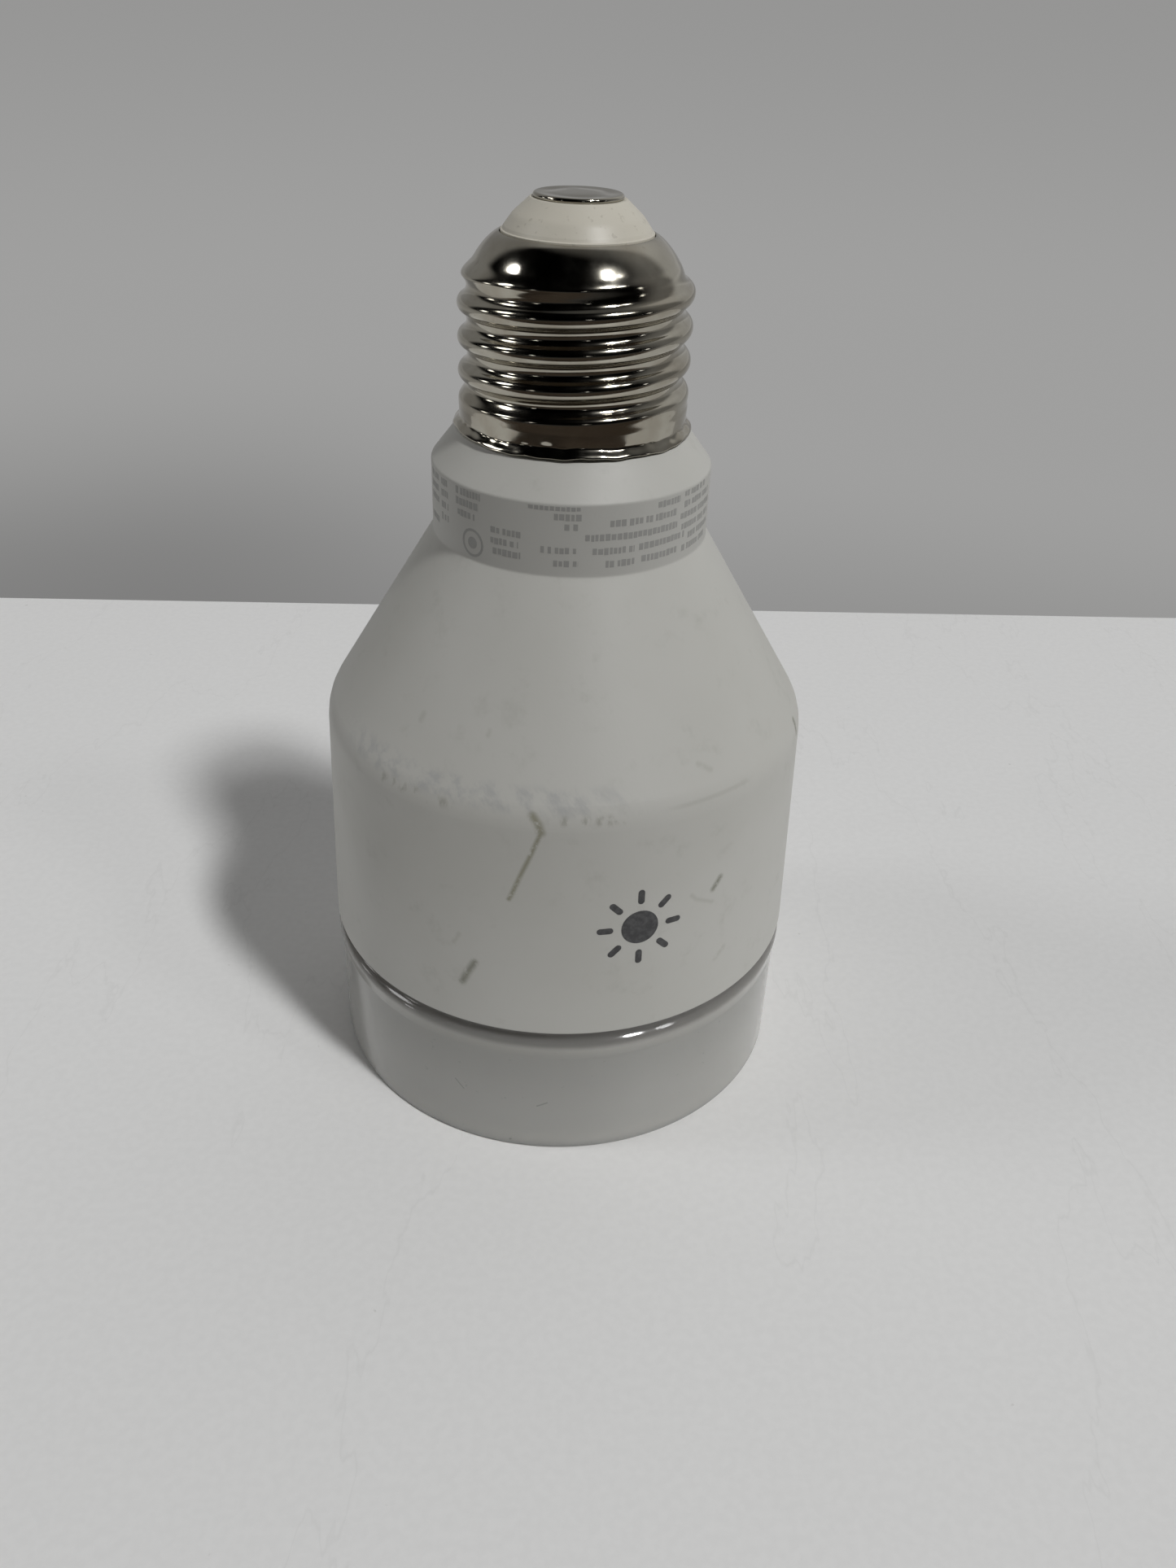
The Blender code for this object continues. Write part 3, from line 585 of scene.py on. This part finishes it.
# ---- Housing and diffuser -----------------------------------------------------------------------------
def make_housing():
    """The white shell: spigot, neck, cone, rounded shoulder, body and rim, then the same again inside."""
    spigot_r = ROOT_R - SHEET - 0.4 * MM
    seat_r, seat_z = LIP_R - 0.3 * MM, LIP_Z - 0.25 * MM
    wall = HOUSING_WALL
    edge = 0.5 * MM
    corners = [
        (spigot_r - wall, SPIGOT_TOP_Z, 0), (spigot_r, SPIGOT_TOP_Z, 0), (spigot_r, seat_z, 0),
        (seat_r, seat_z, 0.3 * MM), (NECK_R, NECK_TOP_Z, edge), (NECK_R, NECK_Z, edge),
        (SHOULDER_R, SHOULDER_Z, SHOULDER_FILLET), (RIM_R, RIM_Z, 0.25 * MM),
        (RIM_R - wall, RIM_Z, 0.2 * MM), (SHOULDER_R - wall, SHOULDER_Z - 1.0 * MM, 4 * MM),
        (NECK_R - wall, NECK_Z - 0.8 * MM, edge), (NECK_R - wall, NECK_TOP_Z - 0.5 * MM, edge),
        (spigot_r - wall, seat_z - 2 * MM, 0),
    ]
    return turned("housing_moulded", rounded(corners))


def make_diffuser():
    """The opal cap: flat face, wall with a raised lip, and the plug that goes up into the housing."""
    inner_r, inner_top_z = DIFFUSER_R - DIFFUSER_WALL, 16 * MM
    plug_inner_r = PLUG_R - DIFFUSER_WALL
    channel_r, channel_z = 30.35 * MM, RIM_Z - 0.1 * MM
    ledge_r, ledge_z = 30.45 * MM, 19.35 * MM
    lip_r, lip_z = DIFFUSER_LIP_R + 0.14 * MM, DIFFUSER_LIP_Z + 0.3 * MM
    flare_z = 16.2 * MM
    corners = [
        (0, DIFFUSER_WALL, 0), (inner_r, DIFFUSER_WALL, 1.0 * MM), (inner_r, inner_top_z, 0),
        (plug_inner_r, channel_z, 0), (plug_inner_r, PLUG_TOP_Z, 0.2 * MM), (PLUG_R, PLUG_TOP_Z, 0.2 * MM),
        (PLUG_R, channel_z, 0.1 * MM), (channel_r, channel_z, 0.3 * MM), (ledge_r, ledge_z, 0.9 * MM),
        (lip_r, lip_z, 1.4 * MM), (DIFFUSER_R, flare_z, 2.0 * MM),
        (DIFFUSER_R, 0, 0.5 * MM), (0, 0, 0),
    ]
    return turned("diffuser_opal", rounded(corners), closed=False)


# ---- Prints: thin ink on the housing ------------------------------------------------------------------
# How far the back of the ink lies inside the housing, so that no gap shows.
INK_SINK = 0.03 * MM


def ink(name, shapes, place_of, rise, step):
    """Thin closed pieces of ink from flat outlines, cut into strips so that they follow the surface.

    place_of takes a flat point and a height above the surface, and returns its place on the bulb.
    """
    mesh = bmesh.new()
    for outline in shapes:
        mesh.faces.new([mesh.verts.new((x, y, 0.0)) for x, y in outline])
    low = min(v.co.x for v in mesh.verts)
    high = max(v.co.x for v in mesh.verts)
    for cut in range(1, math.ceil((high - low) / step)):
        whole = mesh.verts[:] + mesh.edges[:] + mesh.faces[:]
        bmesh.ops.bisect_plane(mesh, geom=whole, plane_co=(low + cut * step, 0, 0), plane_no=(1, 0, 0))
    bmesh.ops.triangulate(mesh, faces=mesh.faces[:])
    mesh.verts.index_update()
    flat = [(v.co.x, v.co.y) for v in mesh.verts]
    count = len(flat)
    faces = [[v.index for v in face.verts] for face in mesh.faces]
    rims = [edge for edge in mesh.edges if len(edge.link_faces) == 1]
    sides = []
    for edge in rims:
        a, b = (v.index for v in edge.verts)
        order = [v.index for v in edge.link_faces[0].verts]
        forward = order[(order.index(a) + 1) % len(order)] == b
        first, second = (a, b) if forward else (b, a)
        sides.append([second, first, first + count, second + count])
    mesh.free()
    vertices = [place_of(x, y, rise) for x, y in flat] + [place_of(x, y, -INK_SINK) for x, y in flat]
    back = [[index + count for index in reversed(face)] for face in faces]
    piece = link_mesh(name, vertices, faces + back + sides)
    piece.data.set_sharp_from_angle(angle=math.radians(30))
    return piece


def disc(x, y, radius, points=40):
    turns = [2 * math.pi * index / points for index in range(points)]
    return [(x + radius * math.cos(t), y + radius * math.sin(t)) for t in turns]


def capsule(x, y, inner, outer, half_width, degrees):
    """A rounded bar that points away from (x, y)."""
    outline = []
    for end, start_turn in ((outer, -90), (inner, 90)):
        for index in range(7):
            t = math.radians(start_turn + 30 * index)
            outline.append((end + half_width * math.cos(t), half_width * math.sin(t)))
    a = math.radians(degrees)
    cos_a, sin_a = math.cos(a), math.sin(a)
    return [(x + u * cos_a - v * sin_a, y + u * sin_a + v * cos_a) for u, v in outline]


# The symbol's centre, as azimuth and height, and its sizes.
SYMBOL_AZIMUTH, SYMBOL_Z = 18.0, 36.3 * MM
SYMBOL_DISC_R = 2.35 * MM
RAY_START, RAY_END, RAY_HALF_WIDTH = 3.75 * MM, 4.95 * MM, 0.42 * MM
RAYS = 8


def make_symbol():
    """A plain brightness symbol: a disc with eight short rays."""
    def place_of(x, y, above):
        z = SYMBOL_Z + y
        azimuth = SYMBOL_AZIMUTH + math.degrees(x / RIM_R)
        return direction(azimuth, 0) * (outer_radius(z) + above) + Vector((0, 0, z))

    shapes = [disc(0, 0, SYMBOL_DISC_R)]
    for ray in range(RAYS):
        shapes.append(capsule(0, 0, RAY_START, RAY_END, RAY_HALF_WIDTH, 360 / RAYS * ray))
    return ink("brightness_symbol", shapes, place_of, rise=0.02 * MM, step=0.5 * MM)


# Rows of small blocks on the neck: first and last azimuth, height in mm, height of a block in mm.
PRINT_ROWS = [
    (-76, -66, 82.2, 0.8), (-76, -66, 80.9, 0.8), (-76, -66, 79.6, 0.8), (-76, -66, 77.2, 0.8),
    (-63, -57, 82.2, 0.85), (-63, -57, 80.9, 0.85), (-63, -57, 79.5, 0.85), (-63, -57, 78.1, 0.85),
    (-51, -37, 82.3, 0.9), (-51, -38, 81.1, 0.9), (-50, -40, 79.8, 0.8),
    (-32, -19, 79.1, 0.8), (-32, -20, 77.9, 0.8), (-31, -19, 76.7, 0.8),
    (-16, 5.0, 82.55, 0.5), (-6, 4.6, 81.6, 0.8), (-2, 4.2, 80.5, 0.8),
    (-11, 4, 77.8, 0.8), (-6, 3.5, 76.3, 0.75), (51, 68, 82.5, 0.75), (36, 48, 82.2, 0.8),
    (51, 74, 81.3, 0.8), (15.5, 46, 80.8, 0.85), (49, 76, 80.0, 0.8), (6, 47, 79.3, 0.85),
    (50, 76, 78.7, 0.8), (9, 26, 77.7, 0.85), (28, 52, 77.8, 0.85), (55, 76, 77.4, 0.8),
    (14.3, 26.2, 76.2, 0.85), (29.4, 48, 76.3, 0.85), (51, 72, 76.1, 0.8),
]
# In mm: the height that the print is drawn round, the range of a block's width, and the gaps.
PRINT_MIDDLE = 79.0
BLOCK_WIDTH = (0.30, 0.62)
BLOCK_GAPS = (0.12, 0.12, 0.14, 0.16, 0.42)
# The share of its half height that a block reaches, up and down.
BLOCK_REACH = (0.75, 1.0)
# The plain ring among the rows: azimuth, height from the print's middle, radii, and the dot inside it.
RING_AZIMUTH, RING_HEIGHT = -41.3, -2.2 * MM
RING_INNER_R, RING_OUTER_R, RING_DOT_R = 1.35 * MM, 1.65 * MM, 0.70 * MM
# The ring is made of short pieces. Each laps over the next by this angle.
RING_PIECES = 20
RING_LAP = 1


def block_row(first, last, height, tall, spread):
    """Small blocks in groups, which read as a row of fine print but spell nothing."""
    shapes = []
    x = math.radians(first) * NECK_R
    end = math.radians(last) * NECK_R
    y = (height - PRINT_MIDDLE) * MM
    while x < end:
        wide = spread.uniform(*BLOCK_WIDTH) * MM
        low = y - 0.5 * tall * MM * spread.uniform(*BLOCK_REACH)
        high = y + 0.5 * tall * MM * spread.uniform(*BLOCK_REACH)
        right = min(x + wide, end)
        shapes.append([(x, low), (right, low), (right, high), (x, high)])
        x += wide + spread.choice(BLOCK_GAPS) * MM
    return shapes


def make_neck_print():
    """Rows of small blocks and one plain ring with a dot, on the neck."""
    spread = random.Random(11)
    shapes = []
    for first, last, height, tall in PRINT_ROWS:
        shapes += block_row(first, last, height, tall, spread)
    ring_x = math.radians(RING_AZIMUTH) * NECK_R
    step = 360 / RING_PIECES
    for turn in range(RING_PIECES):
        a, b = math.radians(step * turn), math.radians(step * turn + step + RING_LAP)
        ends = [(RING_INNER_R, a), (RING_OUTER_R, a), (RING_OUTER_R, b), (RING_INNER_R, b)]
        shapes.append([(ring_x + r * math.cos(t), RING_HEIGHT + r * math.sin(t)) for r, t in ends])
    shapes.append(disc(ring_x, RING_HEIGHT, RING_DOT_R, 16))

    def place_of(x, y, above):
        azimuth = math.degrees(x / NECK_R)
        return direction(azimuth, 0) * (NECK_R + above) + Vector((0, 0, PRINT_MIDDLE * MM + y))

    return ink("neck_print", shapes, place_of, rise=0.012 * MM, step=0.6 * MM)


# ---- Colours of the outer pieces and the table ----------------------------------------------------------
HOUSING_CLEAN, HOUSING_AGED, HOUSING_PATCH = (0.572, 0.568, 0.535), (0.546, 0.542, 0.506), (0.42, 0.42, 0.38)
# Painted shade: a greyer colour for the neck's upright face.
NECK_SHADE_GREY = (0.505, 0.502, 0.474)
SCUFF_GREY = (0.400, 0.406, 0.406)
DAB_BROWN = (0.25, 0.245, 0.20)
EDGE_LINE_BROWN = (0.30, 0.30, 0.26)
SCRATCH_BROWN = (0.27, 0.26, 0.19)
FAINT_BROWN = (0.30, 0.30, 0.25)
SMUDGE_BROWN = (0.20, 0.20, 0.155)
OPAL_CLEAN, OPAL_DEEP = (0.548, 0.529, 0.484), (0.517, 0.499, 0.455)
# Painted shade: the first darkens the wall towards the lip, and the second is the painted shadow under the
# housing's rim.
OPAL_WALL_SHADE, OPAL_RIM_SHADOW = (0.34, 0.337, 0.318), (0.18, 0.176, 0.170)
OPAL_SPECK, OPAL_MARK = (0.30, 0.30, 0.27), (0.22, 0.22, 0.19)
NICKEL_BRIGHT, NICKEL_DULL, NICKEL_STAIN = (0.475, 0.452, 0.388), (0.385, 0.355, 0.294), (0.30, 0.26, 0.21)
CREAM_CLEAN, CREAM_DEEP, CREAM_DIRT = (0.690, 0.658, 0.572), (0.635, 0.603, 0.514), (0.33, 0.30, 0.24)
SYMBOL_INK = (0.045, 0.045, 0.047)
NECK_INK = (0.335, 0.333, 0.318)
WORN_GREY = 0.5
TABLE_PALE, TABLE_DEEP = (0.86, 0.86, 0.855), (0.835, 0.835, 0.83)
TABLE_HAIR, TABLE_DOT = (0.5, 0.5, 0.49), (0.45, 0.44, 0.42)


# ---- Materials of the outer pieces --------------------------------------------------------------------
def shoulder_dirt(tree, place, z, azimuth, base):
    """Soft smears above the shoulder's edge, and dark dabs and a fine line along the edge itself."""
    turn = {"Vector": place, "Angle": math.radians(35)}
    slanted = node(tree, "ShaderNodeVectorRotate", turn, rotation_type="Y_AXIS").outputs[0]
    streaks = noise(tree, stretched(tree, slanted, (1.0, 1.0, 0.22)), 620, 5, 0.65)
    band = combine(tree, "MULTIPLY", band_mask(tree, z, SCUFF_BAND), hump(tree, azimuth, *SCUFF_STRETCH))
    scuff = combine(tree, "MULTIPLY", band, smooth_step(tree, streaks, 0.40, 0.66), 0.60)
    base = blend(tree, scuff, base, SCUFF_GREY)
    dabs = smooth_step(tree, noise(tree, stretched(tree, place, (1.0, 1.0, 0.4)), 900, 4, 0.6), 0.46, 0.66)
    dab_places = combine(tree, "MAXIMUM", *[hump(tree, azimuth, *stretch) for stretch in DAB_STRETCHES])
    edge_dirt = combine(tree, "MULTIPLY", band_mask(tree, z, DAB_BAND), dab_places, dabs, 0.5)
    base = blend(tree, edge_dirt, base, DAB_BROWN)
    line_place = hump(tree, azimuth, *EDGE_LINE_STRETCH)
    edge_line = combine(tree, "MULTIPLY", band_mask(tree, z, EDGE_LINE_BAND), line_place, 0.22)
    return blend(tree, edge_line, base, EDGE_LINE_BROWN), scuff


def housing_marks(tree, place, base):
    """The scratch, the faint marks and the smudges, each broken up by a fine noise."""
    broken = smooth_step(tree, noise(tree, place, 1500, 4, 0.6), 0.25, 0.50)
    scratch = combine(tree, "MULTIPLY", marks_mask(tree, place, SCRATCH_AND_HEAD), broken, 0.85)
    base = blend(tree, scratch, base, SCRATCH_BROWN)
    faint = combine(tree, "MULTIPLY", marks_mask(tree, place, FAINT_MARKS), broken, 0.26)
    base = blend(tree, faint, base, FAINT_BROWN)
    smudge = combine(tree, "MULTIPLY", marks_mask(tree, place, SMUDGES), broken, 0.8)
    return blend(tree, smudge, base, SMUDGE_BROWN), scratch


def housing_look():
    """White plastic with a faint mottle, painted shade on the neck's upright face, dirt and marks."""
    material, tree, shader = new_material("housing plastic", IOR=1.46)
    place = coordinates(tree)
    z, azimuth = height_and_azimuth(tree, place)
    cloud = noise(tree, place, 45, 4)
    base = blend(tree, smooth_step(tree, cloud, 0.35, 0.7), HOUSING_CLEAN, HOUSING_AGED)
    patches = smooth_step(tree, noise(tree, place, 240, 5, 0.65), 0.54, 0.78)
    base = blend(tree, combine(tree, "MULTIPLY", patches, 0.38), base, HOUSING_PATCH)
    # Painted shade: the neck's upright face gets a greyer colour.
    neck_shade = combine(tree, "MULTIPLY", band_mask(tree, z, NECK_SHADE_BAND), 0.85)
    base = blend(tree, neck_shade, base, NECK_SHADE_GREY)
    base, scuff = shoulder_dirt(tree, place, z, azimuth, base)
    base, scratch = housing_marks(tree, place, base)
    tree.links.new(base, shader.inputs["Base Color"])
    rough = smooth_step(tree, cloud, 0.3, 0.7, 0.46, 0.56)
    rough = combine(tree, "SUBTRACT", rough, combine(tree, "MULTIPLY", scuff, 0.15))
    tree.links.new(rough, shader.inputs["Roughness"])
    grain = noise(tree, place, 2600, 2)
    dents = combine(tree, "SUBTRACT", grain, combine(tree, "MULTIPLY", scratch, 2.0))
    tree.links.new(bump(tree, dents, 0.015 * MM, 0.6), shader.inputs["Normal"])
    return material


def diffuser_look():
    """Opal plastic with painted shade, darker towards the lip and darkest from the lip up to the housing's
    rim, with a few specks and marks.
    """
    material, tree, shader = new_material("opal plastic", IOR=1.5)
    shader.inputs["Subsurface Weight"].default_value = 1.0
    shader.inputs["Subsurface Radius"].default_value = (1.0, 0.95, 0.9)
    shader.inputs["Subsurface Scale"].default_value = 10 * MM
    place = coordinates(tree)
    cloud = noise(tree, place, 30, 3)
    base = blend(tree, cloud, OPAL_CLEAN, OPAL_DEEP)
    height = node(tree, "ShaderNodeSeparateXYZ", {0: place}).outputs["Z"]
    # Painted shade: the wall grows darker towards the lip.
    belt_low, belt_high = 6.0 * MM, 17.0 * MM
    wall_shade = combine(tree, "MULTIPLY", smooth_step(tree, height, belt_low, belt_high), 0.40)
    base = blend(tree, wall_shade, base, OPAL_WALL_SHADE)
    # Painted shadow: darkest from the lip up to the housing's rim, which overhangs it.
    lip_low, lip_high = 17.6 * MM, 18.7 * MM
    shade = combine(tree, "MULTIPLY", smooth_step(tree, height, lip_low, lip_high), 0.8)
    base = blend(tree, shade, base, OPAL_RIM_SHADOW)
    specks = combine(tree, "MULTIPLY", smooth_step(tree, noise(tree, place, 1100, 2), 0.70, 0.78), 0.4)
    base = blend(tree, specks, base, OPAL_SPECK)
    marks = combine(tree, "MULTIPLY", marks_mask(tree, place, DIFFUSER_MARKS), 0.6)
    base = blend(tree, marks, base, OPAL_MARK)
    tree.links.new(base, shader.inputs["Base Color"])
    wiped = noise(tree, stretched(tree, place, (1.0, 1.0, 3.0)), 90, 4)
    tree.links.new(smooth_step(tree, wiped, 0.3, 0.7, 0.07, 0.11), shader.inputs["Roughness"])
    waves = noise(tree, place, 70, 2)
    tree.links.new(bump(tree, waves, 0.05 * MM, 0.25), shader.inputs["Normal"])
    return material


def nickel_look():
    """Bright plated metal with a faint mottle, small brown stains and a slow ripple."""
    material, tree, shader = new_material("nickel plate", Metallic=1.0)
    place = coordinates(tree)
    cloud = noise(tree, place, 260, 4)
    base = blend(tree, smooth_step(tree, cloud, 0.3, 0.7), NICKEL_BRIGHT, NICKEL_DULL)
    stain = smooth_step(tree, noise(tree, place, 900, 4, 0.65), 0.60, 0.74)
    base = blend(tree, combine(tree, "MULTIPLY", stain, 0.5), base, NICKEL_STAIN)
    tree.links.new(base, shader.inputs["Base Color"])
    rough = smooth_step(tree, noise(tree, place, 420, 4), 0.3, 0.75, 0.09, 0.15)
    tree.links.new(rough, shader.inputs["Roughness"])
    ripple = noise(tree, stretched(tree, place, (1.0, 1.0, 0.5)), 160, 3)
    tree.links.new(bump(tree, ripple, 0.05 * MM, 0.16), shader.inputs["Normal"])
    return material


def insulator_look():
    """Cream plastic with fine specks of dirt."""
    material, tree, shader = new_material("cream insulator", Roughness=0.42, IOR=1.5)
    place = coordinates(tree)
    cloud = noise(tree, place, 160, 4)
    base = blend(tree, cloud, CREAM_CLEAN, CREAM_DEEP)
    dirt = combine(tree, "MULTIPLY", smooth_step(tree, noise(tree, place, 1500, 3), 0.62, 0.72), 0.35)
    base = blend(tree, dirt, base, CREAM_DIRT)
    tree.links.new(base, shader.inputs["Base Color"])
    tree.links.new(bump(tree, noise(tree, place, 1800, 2), 0.012 * MM, 0.6), shader.inputs["Normal"])
    return material


def ink_look(name, colour):
    """Ink of one colour, a little paler where it is worn."""
    material, tree, shader = new_material(name, Roughness=0.5)
    place = coordinates(tree)
    worn = smooth_step(tree, noise(tree, place, 1400, 4, 0.6), 0.35, 0.75)
    faded = tuple(0.7 * c + 0.3 * WORN_GREY for c in colour)
    base = blend(tree, combine(tree, "MULTIPLY", worn, 0.35), colour, faded)
    tree.links.new(base, shader.inputs["Base Color"])
    return material


# ---- Materials of the pieces inside --------------------------------------------------------------------
# By material slot: colour, second colour, noise scale, roughness, metallic, bump in mm.
INNER_LOOKS = {
    "silicone_white": ((0.76, 0.76, 0.74), (0.68, 0.68, 0.65), 300, 0.55, 0.0, 0.02),
    "aluminium": ((0.72, 0.73, 0.74), (0.60, 0.61, 0.62), 500, 0.32, 1.0, 0.01),
    "board_white": ((0.82, 0.83, 0.81), (0.74, 0.76, 0.74), 400, 0.40, 0.0, 0.01),
    "board_green": ((0.04, 0.22, 0.10), (0.08, 0.33, 0.17), 260, 0.38, 0.0, 0.02),
    "pad_grey": ((0.46, 0.48, 0.51), (0.36, 0.38, 0.41), 900, 0.80, 0.0, 0.03),
    "steel": ((0.60, 0.60, 0.58), (0.48, 0.48, 0.47), 700, 0.28, 1.0, 0.01),
    "phosphor_yellow": ((0.88, 0.72, 0.20), (0.94, 0.82, 0.36), 1400, 0.40, 0.0, 0.01),
    "lens_clear": ((0.86, 0.86, 0.84), (0.74, 0.75, 0.75), 900, 0.15, 0.0, 0.01),
    "sleeve_natural": ((0.78, 0.78, 0.74), (0.70, 0.70, 0.65), 120, 0.48, 0.0, 0.02),
    "can_black": ((0.04, 0.04, 0.05), (0.09, 0.09, 0.10), 350, 0.32, 0.0, 0.01),
    "chip_black": ((0.025, 0.025, 0.025), (0.05, 0.05, 0.052), 2200, 0.55, 0.0, 0.01),
    "ferrite": ((0.08, 0.08, 0.09), (0.14, 0.14, 0.15), 1600, 0.60, 0.0, 0.02),
    "copper": ((0.72, 0.36, 0.18), (0.60, 0.27, 0.12), 1200, 0.28, 1.0, 0.02),
    "tape_yellow": ((0.86, 0.64, 0.10), (0.74, 0.52, 0.07), 200, 0.42, 0.0, 0.02),
    "film_blue": ((0.09, 0.20, 0.52), (0.13, 0.27, 0.62), 420, 0.35, 0.0, 0.02),
    "varistor_orange": ((0.78, 0.31, 0.07), (0.66, 0.24, 0.05), 500, 0.45, 0.0, 0.03),
    "resistor_green": ((0.16, 0.40, 0.28), (0.22, 0.50, 0.36), 500, 0.45, 0.0, 0.02),
    "wire_red": ((0.60, 0.05, 0.04), (0.50, 0.035, 0.03), 600, 0.42, 0.0, 0.01),
    "wire_white": ((0.84, 0.84, 0.82), (0.75, 0.75, 0.72), 600, 0.42, 0.0, 0.01),
}


def inner_look(slot):
    colour, second, scale, roughness, metallic, relief = INNER_LOOKS[slot]
    material, tree, shader = new_material(slot.replace("_", " "), Metallic=metallic)
    place = coordinates(tree)
    mottle = noise(tree, place, scale, 4, 0.6)
    base = blend(tree, smooth_step(tree, mottle, 0.35, 0.65), colour, second)
    tree.links.new(base, shader.inputs["Base Color"])
    rough = smooth_step(tree, noise(tree, place, scale * 0.6), 0.3, 0.7, roughness - 0.06, roughness + 0.08)
    tree.links.new(rough, shader.inputs["Roughness"])
    tree.links.new(bump(tree, mottle, relief * MM, 0.5), shader.inputs["Normal"])
    return material


def dress_inner_nodes():
    looks = {}
    for part in NODES.values():
        slot = part.data.materials[0].name.split(".")[0]
        if slot not in INNER_LOOKS:
            continue
        if slot not in looks:
            looks[slot] = inner_look(slot)
        part.data.materials[0] = looks[slot]


# ---- Stage ----------------------------------------------------------------------------------------------
def make_table():
    """Pale table top. Its back edge shows behind the bulb and isn't quite square to the camera."""
    drop = TABLE_REACH * TABLE_TILT
    vertices = [
        (-TABLE_REACH, TABLE_FRONT_Y, 0), (TABLE_REACH, TABLE_FRONT_Y, 0),
        (TABLE_REACH, TABLE_BACK_Y + drop, 0), (-TABLE_REACH, TABLE_BACK_Y - drop, 0),
    ]
    table = link_mesh("table", vertices, [(0, 1, 2, 3)])
    material, tree, shader = new_material("table top")
    place = coordinates(tree)
    speckle = noise(tree, place, 900, 3)
    base = blend(tree, smooth_step(tree, speckle, 0.3, 0.7), TABLE_PALE, TABLE_DEEP)
    long_marks = noise(tree, stretched(tree, place, (1.0, 0.25, 1.0)), 28, 6, 0.55)
    hair = hump(tree, long_marks, 0.5, 0.0, 0.004)
    base = blend(tree, combine(tree, "MULTIPLY", hair, 0.10), base, TABLE_HAIR)
    dots = smooth_step(tree, noise(tree, place, 420, 2), 0.76, 0.80)
    base = blend(tree, combine(tree, "MULTIPLY", dots, 0.4), base, TABLE_DOT)
    tree.links.new(base, shader.inputs["Base Color"])
    tree.links.new(smooth_step(tree, speckle, 0.3, 0.7, 0.42, 0.5), shader.inputs["Roughness"])
    tree.links.new(bump(tree, noise(tree, place, 1300, 2), 0.02 * MM, 0.5), shader.inputs["Normal"])
    table.data.materials.append(material)


def patch_strength(tree, place, azimuth, elevation, full, reach, strength):
    """A soft round patch of light: full strength up to one angle from its middle, none past the other."""
    towards = direction(azimuth, elevation)
    facing = node(tree, "ShaderNodeVectorMath", {0: place, 1: towards}, operation="DOT_PRODUCT")
    outer, inner = math.cos(math.radians(reach)), math.cos(math.radians(full))
    return smooth_step(tree, facing.outputs["Value"], outer, inner, 0.0, strength)


def make_world():
    """Plain grey surroundings: soft patches above the table, and a backdrop that shows behind its edge.

    A place here is a unit vector, so its height is the sine of an elevation. The side behind the camera
    is darker, and warmer below the horizon.
    """
    world = bpy.data.worlds.new("studio")
    world.use_nodes = True
    bpy.context.scene.world = world
    tree = world.node_tree
    tree.nodes.clear()
    place = node(tree, "ShaderNodeTexCoord").outputs["Generated"]
    split = node(tree, "ShaderNodeSeparateXYZ", {0: place})
    height = split.outputs["Z"]
    low = smooth_step(tree, height, -0.46, -0.30, 0.27, 0.35)
    low = combine(tree, "MULTIPLY", low, smooth_step(tree, height, -0.20, 0.02, 1.0, 0.86))
    front = smooth_step(tree, split.outputs["Y"], -0.5, 0.1, 0.17, 1.0)
    below = smooth_step(tree, height, 0.0, 0.16, 1.0, 0.0)
    # The backdrop is darker low down on the left.
    corner = combine(tree, "MULTIPLY", smooth_step(tree, height, -0.38, -0.24, 0.28, 0.0),
                     smooth_step(tree, split.outputs["X"], -0.32, 0.05, 1.0, 0.0))
    level = combine(tree, "MULTIPLY", low, front, below, maths(tree, "SUBTRACT", 1.0, corner))
    glow = combine(tree, "ADD", *[patch_strength(tree, place, *patch) for patch in PATCHES])
    above = smooth_step(tree, height, 0.0, 0.12)
    level = combine(tree, "ADD", level, combine(tree, "MULTIPLY", glow, above))
    warm = smooth_step(tree, split.outputs["Y"], -0.5, 0.1, 1.0, 0.0)
    warm = combine(tree, "MULTIPLY", warm, smooth_step(tree, height, -0.1, 0.05, 1.0, 0.0))
    tone = blend(tree, warm, (1.0, 0.995, 0.985), (1.0, 0.80, 0.64))
    background = node(tree, "ShaderNodeBackground", {"Color": tone, "Strength": level})
    node(tree, "ShaderNodeOutputWorld", {"Surface": background.outputs[0]})


# ---- Build ------------------------------------------------------------------------------------------------
make_camera()
make_world()
for lamp in LAMPS:
    make_lamp(*lamp)
make_table()
nickel = nickel_look()
finish_piece(make_screw_shell(), nickel, "screw_shell")
finish_piece(make_contact(), nickel, "centre_contact")
finish_piece(make_insulator(), insulator_look(), "base_insulator")
finish_piece(make_housing(), housing_look(), "housing")
finish_piece(make_diffuser(), diffuser_look(), "diffuser")
finish_piece(make_symbol(), ink_look("symbol ink", SYMBOL_INK))
finish_piece(make_neck_print(), ink_look("neck ink", NECK_INK))
dress_inner_nodes()
bpy.context.scene.view_settings.view_transform = "Standard"
